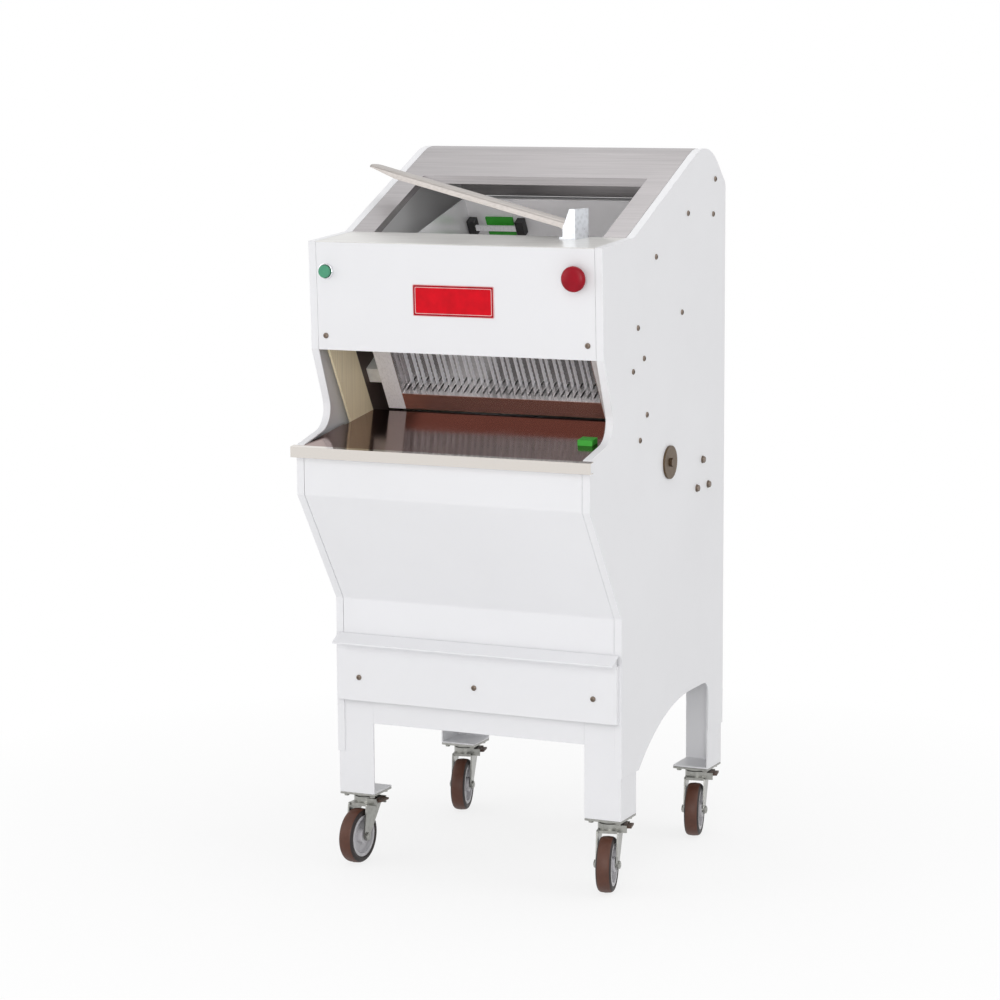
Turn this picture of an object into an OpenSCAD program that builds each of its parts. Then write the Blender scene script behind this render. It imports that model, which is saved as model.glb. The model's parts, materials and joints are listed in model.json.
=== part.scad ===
// Floor-standing bread slicer: painted sheet cabinet on four braked casters, tilted blade frames on a crank
// X runs across the machine, Y from the tray lip to the rear cover, Z up from the floor

/* [Cabinet] */
// Width over the two side panels
cabinet_w = 560; // [540:5:640]
// Depth from the tray lip to the rear cover
cabinet_d = 650; // [640:5:720]
// How far the tray lip stands in front of the side panels
lip_reach = 12; // [6:1:16]
// How far the legs stand back from the upper front edge
lower_setback = 140; // [100:1:150]
// How far the fascia's lower edge stands back from the upper front edge
fascia_setback = 61; // [50:1:70]
// How far the fascia leans forward at its top
fascia_lean = 7; // [0:1:12]
// Depth of the flat shelf on top of the fascia
shelf_d = 139; // [120:1:145]
// Thickness of the painted side panels
panel_t = 2; // [1.5:0.5:3]
// Width of the folded edge of a side panel
flange_w = 14; // [10:1:18]
// Thickness of the stainless sheets
sheet_t = 1.5; // [1:0.25:2]

/* [Heights] */
// Length of leg that shows under the panels
leg_show = 77; // [60:1:100]
// Height from the panels' lower edge to the lower fold of the front
fold_h = 285; // [264:1:304]
// Height of the slanted front
slant_h = 207; // [190:1:230]
// Height from the upper fold to the foot of the discharge opening
apron_h = 88; // [70:1:95]
// Height of the discharge opening at the panels' front edge
mouth_h = 163; // [150:1:180]
// Height of the fascia
fascia_h = 191; // [180:1:200]
// Rise of the shelf from the fascia to the hopper
shelf_rise = 9; // [4:1:14]
// Height of the rear edge above the panels' lower edge
rear_h = 1018; // [994:1:1034]
// Slope of the hopper top, in degrees
hopper_slope = 24.4; // [20:0.1:28]
// Slope of the rear of the top, in degrees
rear_slope = 43.5; // [38:0.5:50]
// Radius of the rounded apex
apex_r = 99; // [70:1:105]

/* [Slicing] */
// Lean of the blades from upright, in degrees
slice_tilt = 30; // [26:1:32]
// Distance between neighbouring blades
blade_pitch = 12.7; // [10:0.1:12.8]
// Width of a blade
blade_w = 12; // [8:0.5:14]
// Thickness of a blade
blade_t = 0.8; // [0.6:0.1:1.2]
// Free length of a blade between the bars of its frame
blade_len = 225; // [215:1:230]
// Width and depth of a blade frame's bars
bar_t = 12; // [10:0.5:13]
// Height of a blade frame's bars
bar_h = 20; // [16:1:24]
// Gap between the two blade frames
frame_gap = 16; // [15:0.5:18]
// Width beside the loaf chute on each side, for the blade frames and their guides
chute_margin = 85; // [80:1:86]
// Length of the loaf chute's floor behind the blades
chute_len = 359; // [330:1:362]
// Height of the loaf chute's rear wall
chute_back_h = 163; // [140:1:170]
// Half of the blade stroke
throw = 12; // [8:0.5:13]

/* [Drive] */
// Distance from the rear cover to the crank axis
crank_from_rear = 278; // [270:1:285]
// Height of the crank axis above the panels' lower edge
crank_h = 533; // [528:1:538]
// Diameter of the crankshaft's journals
shaft_dia = 20; // [16:1:22]
// Diameter of the crank pulley
crank_pulley_dia = 125; // [100:1:126]
// Diameter of the motor pulley
motor_pulley_dia = 50; // [44:1:56]
// Diameter of the motor
motor_dia = 110; // [90:1:124]
// Length of the motor body
motor_len = 140; // [120:1:145]

/* [Casters and legs] */
// Height of a caster from the floor to the top of its plate
caster_h = 130; // [128:1:140]
// Diameter of a caster wheel
wheel_dia = 100; // [90:1:101]
// Width of a caster wheel's tread
wheel_w = 30; // [24:1:32]
// Distance from the swivel axis to the wheel's axle
trail = 31; // [24:1:34]
// Width of a leg's flanges
leg_w = 70; // [64:1:76]
// Thickness of a leg's flanges
leg_t = 3; // [2:0.5:5]

/* [Drawer] */
// Height of the drawer's front below its pull lip
drawer_front_h = 104; // [96:1:110]
// Depth of the crumb drawer's box
drawer_d = 400; // [340:5:420]
// Inside height of the crumb drawer's box
drawer_box_h = 70; // [50:1:76]

/* [Controls] */
// Diameter of the stop button's mushroom head
stop_dia = 44; // [36:1:46]
// Diameter of the start button
start_dia = 22; // [18:1:23]
// Travel of both buttons
button_travel = 4; // [3:0.5:5]
// Width of the blank nameplate
plate_w = 155; // [120:1:180]
// Height of the blank nameplate
plate_h = 55; // [40:1:60]
// Length of the hold-down arm
arm_len = 487; // [440:1:488]
// Width of the hold-down arm
arm_w = 30; // [24:1:34]

/* [Hidden] */
$fn = 48;

// Colours
paint = [0.93, 0.93, 0.94];
steel = [0.74, 0.72, 0.69];
zinc = [0.66, 0.68, 0.7];
dark = [0.2, 0.19, 0.18];

// Cuts run this far past the faces that they open
overrun = 1;
// Air between painted sheets at a seam
seam = 0.5;
// Air around a bolt or boss in its hole
hole_gap = 0.3;
// Air around a running shaft or pin in its bore
bore_gap = 0.05;
// Air between a moving piece and what it slides along
slide_gap = 0.5;
// Angle between points on the round corners of outlines
arc_step = 10;
// Angle times radius between points on wide round corners, in degrees by mm
arc_reach = 1000;

// Cabinet places
half_w = cabinet_w / 2;
gland_proud = 8;
rear_y = (cabinet_d - gland_proud) / 2;
lip_y = rear_y - cabinet_d;
front_y = lip_y + lip_reach;
leg_y = front_y + lower_setback;
fascia_y = front_y + fascia_setback;
fascia_top_y = fascia_y - fascia_lean;
hopper_y = fascia_top_y + shelf_d;
panel_z = caster_h + leg_show;
fold_z = panel_z + fold_h;
apron_z = fold_z + slant_h;
mouth_z = apron_z + apron_h;
fascia_z = mouth_z + mouth_h;
fascia_top_z = fascia_z + fascia_h;
shelf_z = fascia_top_z + shelf_rise;
rear_z = panel_z + rear_h;
hopper_tan = tan(hopper_slope);
rear_tan = tan(rear_slope);
apex_y = (rear_z - shelf_z + hopper_y * hopper_tan + rear_y * rear_tan) / (hopper_tan + rear_tan);
apex_z = shelf_z + (apex_y - hopper_y) * hopper_tan;

// Side panel corners
foot_d = 80;
rear_foot_d = 74;
arch_lead = 112;
arch_rise = 95;
arch_front_r = 385;
arch_rear_r = 26;
rear_r = 22;
edge_r = 6;
fold_r = 10;
notch_d = 116;
notch_rise = 27;
notch_r = 40;
arch_z = panel_z + arch_rise;

// Sheets between the folded edges of the panels
sheet_half = half_w - flange_w - seam;
skin_in = half_w - panel_t;
plate_out = sheet_half - sheet_t;
plate_t = 4;
plate_in = plate_out - plate_t;
plate_drop = 32;
plate_setback = 40;
plate_bottom_z = fold_z - plate_drop;
plate_front_y = leg_y + plate_setback;
plate_knee_z = mouth_z;
fascia_fold = 25;

// Unit vector of v, and the round corner of radius r at b between a and c
function unit(v) = v / norm(v);
function wrap(a) = a > 180 ? a - 360 : a < -180 ? a + 360 : a;
function arc_sides(turn, r) = max(1, ceil(abs(turn) / arc_step), ceil(abs(turn) * r / arc_reach));
function corner(a, b, c, r) =
    let (u = unit(a - b), v = unit(c - b), half = acos(max(-1, min(1, u * v))) / 2)
    r <= 0 || half > 89.9 ? [b] :
    let (m = b + unit(u + v) * r / sin(half), s = b + u * r / tan(half) - m, e = b + v * r / tan(half) - m)
    let (a0 = atan2(s[1], s[0]), turn = wrap(atan2(e[1], e[0]) - a0), n = arc_sides(turn, r))
    [for (i = [0 : n]) m + r * [cos(a0 + turn * i / n), sin(a0 + turn * i / n)]];
function flat(p) = [p[0], p[1]];
// Closed outline through points [y, z, corner radius]
function rounded(pts) =
    let (n = len(pts))
    [for (i = [0 : n - 1])
        each corner(flat(pts[(i + n - 1) % n]), flat(pts[i]), flat(pts[(i + 1) % n]), pts[i][2])];
// Point of an outline moved by d to the left of its direction
function side_step(a, b, c, d) =
    let (u = unit(b - a), v = unit(c - b), m = [-u[1] - v[1], u[0] + v[0]])
    b + m * (d / (1 + u * v));
// Closed outline, run counter-clockwise, moved inwards by d
function inset(pts, d) =
    let (n = len(pts))
    [for (i = [0 : n - 1]) side_step(pts[(i + n - 1) % n], pts[i], pts[(i + 1) % n], d)];
// Strip of width d on the left of an open path
function strip(path, d) =
    let (n = len(path))
    concat(path, [for (i = [n - 1 : -1 : 0])
        side_step(i == 0 ? 2 * path[0] - path[1] : path[i - 1], path[i],
            i == n - 1 ? 2 * path[n - 1] - path[n - 2] : path[i + 1], d)]);

front_corners = [
    [rear_y, rear_z, rear_r], [apex_y, apex_z, apex_r], [hopper_y, shelf_z, edge_r],
    [fascia_top_y, fascia_top_z, 0], [fascia_y, fascia_z, 0],
    [front_y + notch_d, mouth_z + notch_rise, notch_r], [front_y, mouth_z, edge_r],
    [front_y, apron_z, fold_r], [leg_y, fold_z, fold_r]
];
panel_outline = rounded(concat([
    [leg_y, panel_z, 0], [leg_y + foot_d, panel_z, 0], [leg_y + foot_d + arch_lead, arch_z, arch_front_r],
    [rear_y - rear_foot_d, arch_z, arch_rear_r], [rear_y - rear_foot_d, panel_z, 0], [rear_y, panel_z, 0]
], front_corners));
pan_floor_z = panel_z - panel_t - overrun;
pan_corners = concat([[leg_y, pan_floor_z, 0], [rear_y, pan_floor_z, 0]], front_corners);
pan_outline = inset(rounded(pan_corners), panel_t);
plate_outline = inset(rounded([
    [plate_front_y, plate_bottom_z, 0], [rear_y, plate_bottom_z, 0], [rear_y, rear_z, rear_r],
    [apex_y, apex_z, apex_r], [hopper_y, shelf_z, edge_r], [fascia_top_y, fascia_top_z, 0],
    [fascia_y, fascia_z, 0], [fascia_y + fascia_fold, fascia_z, 0], [plate_front_y, plate_knee_z, 0]
]), sheet_t);

// Shape drawn in Y and Z, drawn out along X from x0 to x1
module along_x(x0, x1) {
    translate([x0, 0, 0]) rotate([90, 0, 90]) linear_extrude(x1 - x0) children();
}
// Box between two corners
module box(a, b) {
    translate(a) cube(b - a);
}
// Cylinder along X from x0 to x1
module rod_x(r, x0, x1) {
    translate([x0, 0, 0]) rotate([0, 90, 0]) cylinder(r = r, h = x1 - x0);
}
// Copies on both sides of the machine
module both() {
    children();
    mirror([1, 0, 0]) children();
}
// Frame of the blades: origin on the crank axis, Y square to the blades, Z along them
crank_y = rear_y - crank_from_rear;
crank_z = panel_z + crank_h;
module tilted() {
    translate([0, crank_y, crank_z]) rotate([slice_tilt, 0, 0]) children();
}

// Side-panel screws, as shares of the depth behind the front edge and of the rear edge's height
screw_shares = [
    [0.702, 0.9550], [0.900, 0.9474], [0.462, 0.8881], [0.658, 0.7828], [0.332, 0.7723],
    [0.376, 0.7178], [0.298, 0.6996], [0.398, 0.6192], [0.348, 0.5781], [0.915, 1.0096]
];
screw_places = [for (s = screw_shares) [front_y + s[0] * (rear_y - front_y), panel_z + s[1] * rear_h]];
screw_r = 2.5;
screw_head_r = 5;
screw_head_h = 2.6;
spacer_r = 7;
// Motor bolts on a circle round the motor's axis
motor_from_rear = 112;
motor_drop = 49;
motor_y = rear_y - motor_from_rear;
motor_z = crank_z - motor_drop;
motor_bolt_r = 4;
motor_bolt_head_r = 7;
motor_bolt_head_h = 5;
motor_bolt_circle = 33;
motor_bolt_depth = 16;
motor_bolt_turns = [90, 210, 330];
motor_bolts = [for (a = motor_bolt_turns)
    [motor_y + motor_bolt_circle * cos(a), motor_z + motor_bolt_circle * sin(a)]];
// Crank bearing housings
housing_r = 22;
housing_flange_r = 30;
housing_flange_t = 4;
housing_bolt_r = 8;
housing_bolt_h = 4;

// Holes along X through a side wall at places [y, z]
module wall_holes(places, r) {
    for (p = places) translate([0, p[0], p[1]]) rod_x(r, 0, half_w + overrun);
}
module side_panel() {
    difference() {
        along_x(half_w - flange_w, half_w) polygon(panel_outline);
        along_x(half_w - flange_w - overrun, skin_in) polygon(pan_outline);
        wall_holes(screw_places, screw_r + hole_gap);
        wall_holes([[crank_y, crank_z]], housing_r + hole_gap);
        children();
    }
}
module right_panel() {
    color(paint) side_panel() wall_holes(motor_bolts, motor_bolt_r + hole_gap);
}
module left_panel() {
    color(paint) mirror([1, 0, 0]) side_panel();
}
module inner_plate() {
    difference() {
        along_x(plate_in, plate_out) polygon(plate_outline);
        wall_holes([[crank_y, crank_z]], housing_r + hole_gap);
        children();
    }
}
module right_inner_plate() {
    color(steel) inner_plate() wall_holes(motor_bolts, motor_bolt_r + hole_gap);
}
module left_inner_plate() {
    color(steel) mirror([1, 0, 0]) inner_plate();
}
// Tubes that hold the inner plates off the panels at each screw
module panel_spacers() {
    color(zinc) both() for (p = screw_places) translate([0, p[0], p[1]]) difference() {
        rod_x(spacer_r, plate_out, skin_in);
        rod_x(screw_r + hole_gap, plate_out + panel_t, skin_in + overrun);
    }
}
// Pan-head screw along -Z with its head on the plane Z = 0
module pan_screw(length, r = screw_r, head_r = screw_head_r, head_h = screw_head_h) {
    translate([0, 0, -length]) cylinder(r = r, h = length);
    rotate_extrude() polygon([[0, 0], [head_r, 0], [head_r, head_h / 2], [head_r / 2, head_h], [0, head_h]]);
}

// Legs and base
leg_len = 310;
leg_top_z = caster_h + leg_len;
leg_in = skin_in - leg_w;
leg_front_y = leg_y + panel_t;
leg_rear_y = rear_y - panel_t;
rail_h = 43;
rail_d = 30;
rail_lift = 56;
rail_z = panel_z + rail_lift;
drawer_z = rail_z + rail_h;
side_rail_h = 30;
side_rail_lift = 10;
// Copies at the four corners, with the corner of the cabinet at the origin and the inside towards -X, +Y
module at_corners() {
    both() {
        translate([skin_in, leg_front_y, 0]) children();
        translate([skin_in, leg_rear_y, 0]) mirror([0, 1, 0]) children();
    }
}
// Angle-section legs with a foot plate for the caster
module leg_posts() {
    color(paint) at_corners() {
        box([-leg_w, 0, caster_h], [0, leg_t, leg_top_z]);
        box([-leg_t, 0, caster_h], [0, leg_w, leg_top_z]);
        box([-leg_w, 0, caster_h], [0, leg_w, caster_h + leg_t]);
    }
}
// Angle rails between the legs
module base_rails() {
    side_z = arch_z + side_rail_lift;
    color(paint) {
        box([-leg_in, leg_front_y, rail_z], [leg_in, leg_front_y + leg_t, drawer_z]);
        box([-leg_in, leg_front_y, rail_z], [leg_in, leg_front_y + rail_d, rail_z + leg_t]);
        box([-leg_in, leg_rear_y - leg_t, rail_z], [leg_in, leg_rear_y, drawer_z]);
        box([-leg_in, leg_rear_y - rail_d, rail_z], [leg_in, leg_rear_y, rail_z + leg_t]);
        both() {
            box([skin_in - leg_t, leg_front_y + leg_w, side_z],
                [skin_in, leg_rear_y - leg_w, side_z + side_rail_h]);
            box([skin_in - rail_d, leg_front_y + leg_w, side_z],
                [skin_in, leg_rear_y - leg_w, side_z + leg_t]);
        }
    }
}

// Fascia: leaning painted pan with returns at its sides and foot
fascia_cap_z = fascia_top_z - sheet_t;
fascia_tilt = atan(fascia_lean / fascia_h);
function fascia_at(z) = fascia_y - fascia_lean * (z - fascia_z) / fascia_h;
fascia_screw_in = 15;
fascia_screw_up = 25;
fascia_screw_x = sheet_half - fascia_screw_in;
fascia_screw_z = fascia_z + fascia_screw_up;
// Frame on the fascia's face at height z, with Z pointing out
module on_fascia(x, z) {
    translate([x, fascia_at(z), z]) rotate([90 + fascia_tilt, 0, 0]) children();
}
button_drop = 52;
start_in = 20;
stop_in = 34;
button_z = fascia_top_z - button_drop;
start_x = start_in - sheet_half;
stop_x = sheet_half - stop_in;
button_hole_r = 8;
plate_up = 93;
plate_z = fascia_z + plate_up;
module fascia() {
    top_y = fascia_at(fascia_cap_z);
    over_y = fascia_at(fascia_cap_z + overrun);
    color(paint) difference() {
        along_x(-sheet_half, sheet_half) polygon([
            [fascia_y, fascia_z], [fascia_y + fascia_fold, fascia_z],
            [top_y + fascia_fold, fascia_cap_z], [top_y, fascia_cap_z]
        ]);
        along_x(-plate_out, plate_out) polygon([
            [fascia_at(fascia_z + sheet_t) + sheet_t, fascia_z + sheet_t],
            [fascia_y + fascia_fold + overrun, fascia_z + sheet_t],
            [over_y + fascia_fold + overrun, fascia_cap_z + overrun],
            [over_y + sheet_t, fascia_cap_z + overrun]
        ]);
        for (x = [start_x, stop_x]) on_fascia(x, button_z)
            translate([0, 0, -fascia_fold / 2]) cylinder(r = button_hole_r + hole_gap, h = fascia_fold);
        for (x = [-fascia_screw_x, fascia_screw_x]) on_fascia(x, fascia_screw_z)
            translate([0, 0, -fascia_fold / 2]) cylinder(r = screw_r + hole_gap, h = fascia_fold);
    }
}
// Blank red plate with a raised border
plate_t_out = 1.5;
plate_border = 2.5;
plate_relief = 0.5;
module nameplate() {
    color([0.82, 0.1, 0.16]) on_fascia(0, plate_z) difference() {
        translate([-plate_w / 2, -plate_h / 2, 0]) cube([plate_w, plate_h, plate_t_out]);
        translate([plate_border - plate_w / 2, plate_border - plate_h / 2, plate_t_out - plate_relief])
            cube([plate_w - 2 * plate_border, plate_h - 2 * plate_border, plate_relief + overrun]);
    }
}
// Stainless shelf between the fascia and the hopper
module front_shelf() {
    color(steel) along_x(-sheet_half, sheet_half) polygon([
        [fascia_top_y, fascia_top_z], [fascia_top_y, fascia_top_z - sheet_t],
        [hopper_y, shelf_z - sheet_t], [hopper_y, shelf_z]
    ]);
}

// Hopper top: centre of the apex arc, and the seam between the surround and the cap on it
apex_turn = (hopper_slope + rear_slope) / 2;
apex_lean = (hopper_slope - rear_slope) / 2;
apex_m = [apex_y, apex_z] + apex_r / cos(apex_turn) * [sin(apex_lean), -cos(apex_lean)];
seam_angle = 96;
seam_turn = asin(seam / apex_r);
function arc(m, r, a0, a1) =
    let (n = ceil(abs(a1 - a0) / arc_step))
    [for (i = [0 : n]) m + r * [cos(a0 + (a1 - a0) * i / n), sin(a0 + (a1 - a0) * i / n)]];
mouth_in = 43.5;
mouth_half = sheet_half - mouth_in;
mouth_len = 204;
mouth_rim = 15;
hopper_end_y = hopper_y + mouth_len;
function slope_z(y) = shelf_z + (y - hopper_y) * hopper_tan;
// Sheet on the slope with the mouth that loaves go in by
module hopper_surround() {
    start_y = hopper_y + seam;
    rim_y = hopper_end_y + sheet_t;
    rim_half = mouth_half + sheet_t;
    end_z = slope_z(hopper_end_y);
    path = concat(arc(apex_m, apex_r, seam_angle, 90 + hopper_slope), [[start_y, slope_z(start_y)]]);
    color(steel) {
        difference() {
            along_x(-sheet_half, sheet_half) polygon(strip(path, sheet_t));
            box([-mouth_half, hopper_y - shelf_d, fascia_z], [mouth_half, hopper_end_y, apex_z]);
        }
        along_x(-rim_half, rim_half) polygon([
            [hopper_end_y, end_z - sheet_t / 2], [hopper_end_y, end_z - mouth_rim],
            [rim_y, end_z - mouth_rim], [rim_y, end_z - sheet_t / 2]
        ]);
        both() along_x(mouth_half, rim_half) polygon([
            [start_y, shelf_z - sheet_t / 2], [start_y, shelf_z - mouth_rim],
            [hopper_end_y, end_z - mouth_rim], [rim_y, end_z - mouth_rim], [rim_y, end_z - sheet_t / 2]
        ]);
    }
}
// Sheet over the apex and down to the rear cover
cap_drop = 30;
cap_end_z = rear_z - cap_drop;
module apex_cap() {
    path = concat([[rear_y, cap_end_z]],
        corner([rear_y, cap_end_z], [rear_y, rear_z], [apex_y, apex_z], rear_r),
        arc(apex_m, apex_r, 90 - rear_slope, seam_angle - seam_turn));
    color(steel) along_x(-sheet_half, sheet_half) polygon(strip(path, sheet_t));
}
rear_screw_in = 16;
rear_screw_x = sheet_half - rear_screw_in;
rear_screw_shares = [0.2, 0.55, 0.92];
rear_cover_h = cap_end_z - seam - drawer_z;
rear_screw_places = [for (s = rear_screw_shares, x = [-rear_screw_x, rear_screw_x])
    [x, drawer_z + s * rear_cover_h]];
gland_r = 11;
gland_in = 115.5;
gland_x = gland_in - sheet_half;
gland_lift = 40;
gland_z = plate_bottom_z + gland_lift;
module rear_cover() {
    color(paint) difference() {
        box([-sheet_half, rear_y - sheet_t, drawer_z], [sheet_half, rear_y, cap_end_z - seam]);
        for (p = rear_screw_places) translate([p[0], rear_y - fascia_fold, p[1]]) rotate([-90, 0, 0])
            cylinder(r = screw_r + hole_gap, h = 2 * fascia_fold);
        translate([gland_x, rear_y - fascia_fold, gland_z]) rotate([-90, 0, 0])
            cylinder(r = gland_r + hole_gap, h = 2 * fascia_fold);
    }
}
// Strain-relief gland with its inner nut
gland_head_r = 16;
gland_bore_r = 4;
gland_depth = 14;
gland_nut_t = 6;
module cord_gland() {
    color(dark) translate([gland_x, rear_y, gland_z]) rotate([-90, 0, 0]) difference() {
        union() {
            cylinder(r1 = gland_head_r, r2 = gland_r, h = gland_proud);
            translate([0, 0, -gland_depth]) cylinder(r = gland_r, h = gland_depth);
            translate([0, 0, -sheet_t - gland_nut_t]) cylinder(r = gland_head_r, h = gland_nut_t, $fn = 6);
        }
        translate([0, 0, -gland_depth - overrun])
            cylinder(r = gland_bore_r, h = gland_depth + gland_proud + 2 * overrun);
    }
}

// Loaf chute in the frame of the blades
bar_rise = 101;
floor_u = 156;
frame_top = bar_rise + 2 * bar_h + blade_len;
chute_half = half_w - chute_margin;
blade_count = 2 * floor(chute_half / blade_pitch) + 1;
chute_lip = 41;
lip_face = 34;
chute_side_h = 233;
chute_notch_d = 27;
notch_gap = 6;
chute_notch_h = frame_top - bar_h - throw - notch_gap - floor_u;
slot_w = 4;
slot_front = 29;
slot_back = 19;
gusset_w = 44;
gusset_shares = [0.28, 0.9];
hem_t = 5;
function blade_x(i) = (i - (blade_count - 1) / 2) * blade_pitch;
module loaf_chute() {
    wall_x = chute_half + sheet_t;
    back_n = chute_len + sheet_t;
    color(steel) tilted() difference() {
        union() {
            box([-wall_x, -chute_lip, floor_u - sheet_t], [wall_x, back_n, floor_u]);
            box([-wall_x, -chute_lip, floor_u - lip_face], [wall_x, sheet_t - chute_lip, floor_u]);
            box([-wall_x, chute_len, floor_u - sheet_t], [wall_x, back_n, floor_u + chute_back_h]);
            box([-wall_x, chute_len, floor_u + chute_back_h - hem_t],
                [wall_x, chute_len + hem_t, floor_u + chute_back_h]);
            both() {
                along_x(chute_half, wall_x) polygon([
                    [-chute_lip, floor_u - sheet_t], [back_n, floor_u - sheet_t],
                    [back_n, floor_u + chute_back_h],
                    [chute_notch_d + chute_side_h - chute_notch_h, floor_u + chute_side_h],
                    [chute_notch_d, floor_u + chute_side_h], [chute_notch_d, floor_u + chute_notch_h],
                    [-chute_lip, floor_u + chute_notch_h]
                ]);
                for (s = gusset_shares) translate([0, s * chute_len, 0])
                    box([chute_half, 0, floor_u - sheet_t], [plate_in, sheet_t, floor_u + gusset_w]);
            }
        }
        for (i = [0 : blade_count - 1]) translate([blade_x(i), 0, 0])
            box([-slot_w / 2, -slot_front, floor_u - slot_w], [slot_w / 2, slot_back, floor_u + slot_w]);
    }
}
// Flanges beside the discharge, and a bar on two brackets in front of the loaf stop
cheek_w = 35;
stay_d = 14;
stay_t = 4;
stay_h = 11;
stay_u = 262;
stay_gap = 1;
stay_foot_w = 16;
stay_foot_h = 30;
stay_len = 99;
module chute_trim() {
    stay_n = chute_len - stay_d;
    stay_x = stay_gap - chute_half;
    color(steel) tilted() {
        both() box([chute_half + sheet_t, -chute_lip, floor_u - lip_face],
            [chute_half + sheet_t + cheek_w, sheet_t - chute_lip, floor_u + chute_notch_h]);
        translate([stay_x, 0, stay_u]) {
            box([0, stay_n - stay_t / 2, -stay_h / 2],
                [stay_len + stay_foot_w, stay_n + stay_t / 2, stay_h / 2]);
            for (x = [0, stay_len])
                box([x, stay_n - stay_t, -stay_foot_h / 2], [x + stay_foot_w, chute_len, stay_foot_h / 2]);
        }
    }
}
// Green loaf stop on the rear wall
pad_w = 56;
pad_h = 48;
pad_t = 4;
pad_in = 63;
pad_x = pad_in - chute_half;
pad_u = 255;
module rear_pad() {
    tilted() box([pad_x - pad_w / 2, chute_len - pad_t, pad_u - pad_h / 2],
        [pad_x + pad_w / 2, chute_len, pad_u + pad_h / 2]);
}

// Discharge tray with a hemmed lip in front of the panels
tray_side = 6;
tray_half = half_w + tray_side;
tray_drop = 2;
tray_lip_h = 19;
tray_d = 272;
tray_rise = 37;
tray_wide_d = 160;
tray_z = mouth_z - tray_drop;
function tray_at(d) = [lip_y + d, tray_z + tray_rise * d / tray_d];
module discharge_tray() {
    lip_z = tray_z - tray_lip_h;
    color(steel) {
        along_x(-tray_half, tray_half)
            polygon(strip([tray_at(lip_reach), tray_at(0), [lip_y, lip_z], [front_y, lip_z]], sheet_t));
        along_x(-sheet_half, sheet_half)
            polygon(strip([tray_at(tray_wide_d), tray_at(lip_reach / 2)], sheet_t));
        along_x(-plate_in, plate_in) polygon(strip([tray_at(tray_d), tray_at(lip_reach / 2)], sheet_t));
    }
}
// Small green stop on the tray, and both stops together
small_pad_w = 28;
small_pad_d = 24;
small_pad_h = 10;
small_pad_in = 15;
small_pad_from = 104;
module stop_pads() {
    right_x = plate_in - small_pad_in;
    near = tray_at(small_pad_from);
    far = tray_at(small_pad_from + small_pad_d);
    color([0.28, 0.65, 0.25]) {
        rear_pad();
        along_x(right_x - small_pad_w, right_x)
            polygon([near, far, far + [0, small_pad_h], near + [0, small_pad_h]]);
    }
}
// Slanted painted front between the tray and the drawer
cover_tuck = 5;
visor_rise = 18;
visor_lap = 3;
visor_z = drawer_z + drawer_front_h + visor_rise;
module lower_front_cover() {
    top_p = [front_y, tray_z - cover_tuck];
    end_p = [leg_y, visor_z - visor_lap];
    path = concat([top_p], corner(top_p, [front_y, apron_z], [leg_y, fold_z], fold_r),
        corner([front_y, apron_z], [leg_y, fold_z], end_p, fold_r), [end_p]);
    color(paint) along_x(-sheet_half, sheet_half) polygon(strip(path, sheet_t));
}

// Blade frames, rods and their guides
col_gap = 10;
col_in = chute_half + col_gap;
col_out = col_in + bar_t;
frame_n = frame_gap / 2;
guide_h = 30;
guide_shares = [0.3, 0.86];
guide_wall = 14;
guide_d = frame_n + bar_t + guide_wall;
guide_in = col_in + bar_t / 2;
module guide_blocks() {
    color([0.9, 0.9, 0.86]) tilted() both() for (s = guide_shares)
        translate([0, 0, bar_rise + bar_h + s * blade_len])
        difference() {
            box([guide_in, -guide_d, -guide_h / 2], [plate_in, guide_d, guide_h / 2]);
            for (side = [-1, 1]) translate([0, side * (frame_n + bar_t / 2), 0])
                box([guide_in - overrun, -bar_t / 2 - slide_gap, -guide_h / 2 - overrun],
                    [col_out + slide_gap, bar_t / 2 + slide_gap, guide_h / 2 + overrun]);
        }
}
pin_r = 4;
lug_t = 6;
lug_r = 8;
lug_gap = 1;
rod_t = 10;
pin_drop = 25;
rod_len = bar_rise - pin_drop;
front_rod_in = 45;
rear_rod_in = 20;
front_rod_x = chute_half - front_rod_in;
rear_rod_x = chute_half - rear_rod_in;
// One frame in front of the blade plane, with a lug and pin over each rod
module blade_frame(rod_x_at) {
    box([-col_out, -frame_n - bar_t, bar_rise], [col_out, -frame_n, bar_rise + bar_h]);
    box([-col_out, -frame_n - bar_t, frame_top - bar_h], [col_out, -frame_n, frame_top]);
    both() {
        box([col_in, -frame_n - bar_t, bar_rise], [col_out, -frame_n, frame_top]);
        translate([rod_x_at - rod_t / 2 - lug_gap - lug_t, 0, 0]) {
            box([0, -frame_n - bar_t, rod_len - lug_r], [lug_t, -frame_n, bar_rise + lug_gap]);
            box([0, -frame_n - bar_t, rod_len - lug_r],
                [lug_t, frame_n - 2 * lug_gap, rod_len + lug_r]);
            translate([0, 0, rod_len]) rod_x(pin_r, 0, lug_t + 2 * lug_gap + rod_t);
        }
    }
}
module front_blade_frame() {
    color(steel) tilted() blade_frame(front_rod_x);
}
module rear_blade_frame() {
    color(steel) tilted() mirror([0, 1, 0]) blade_frame(rear_rod_x);
}
// Every second blade, starting from the first one given
module blade_set(first) {
    for (i = [first : 2 : blade_count - 1]) translate([blade_x(i), 0, 0])
        box([-blade_t / 2, -frame_n, bar_rise + bar_h / 2],
            [blade_t / 2, blade_w - frame_n, frame_top - bar_h / 2]);
}
module front_blades() {
    color(zinc) tilted() blade_set(0);
}
module rear_blades() {
    color(zinc) tilted() mirror([0, 1, 0]) blade_set(1);
}
crank_pin_r = 7;
ring_bore_r = 37.5;
ring_w = 7;
rod_w = 12;
eye_r = 7;
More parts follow.
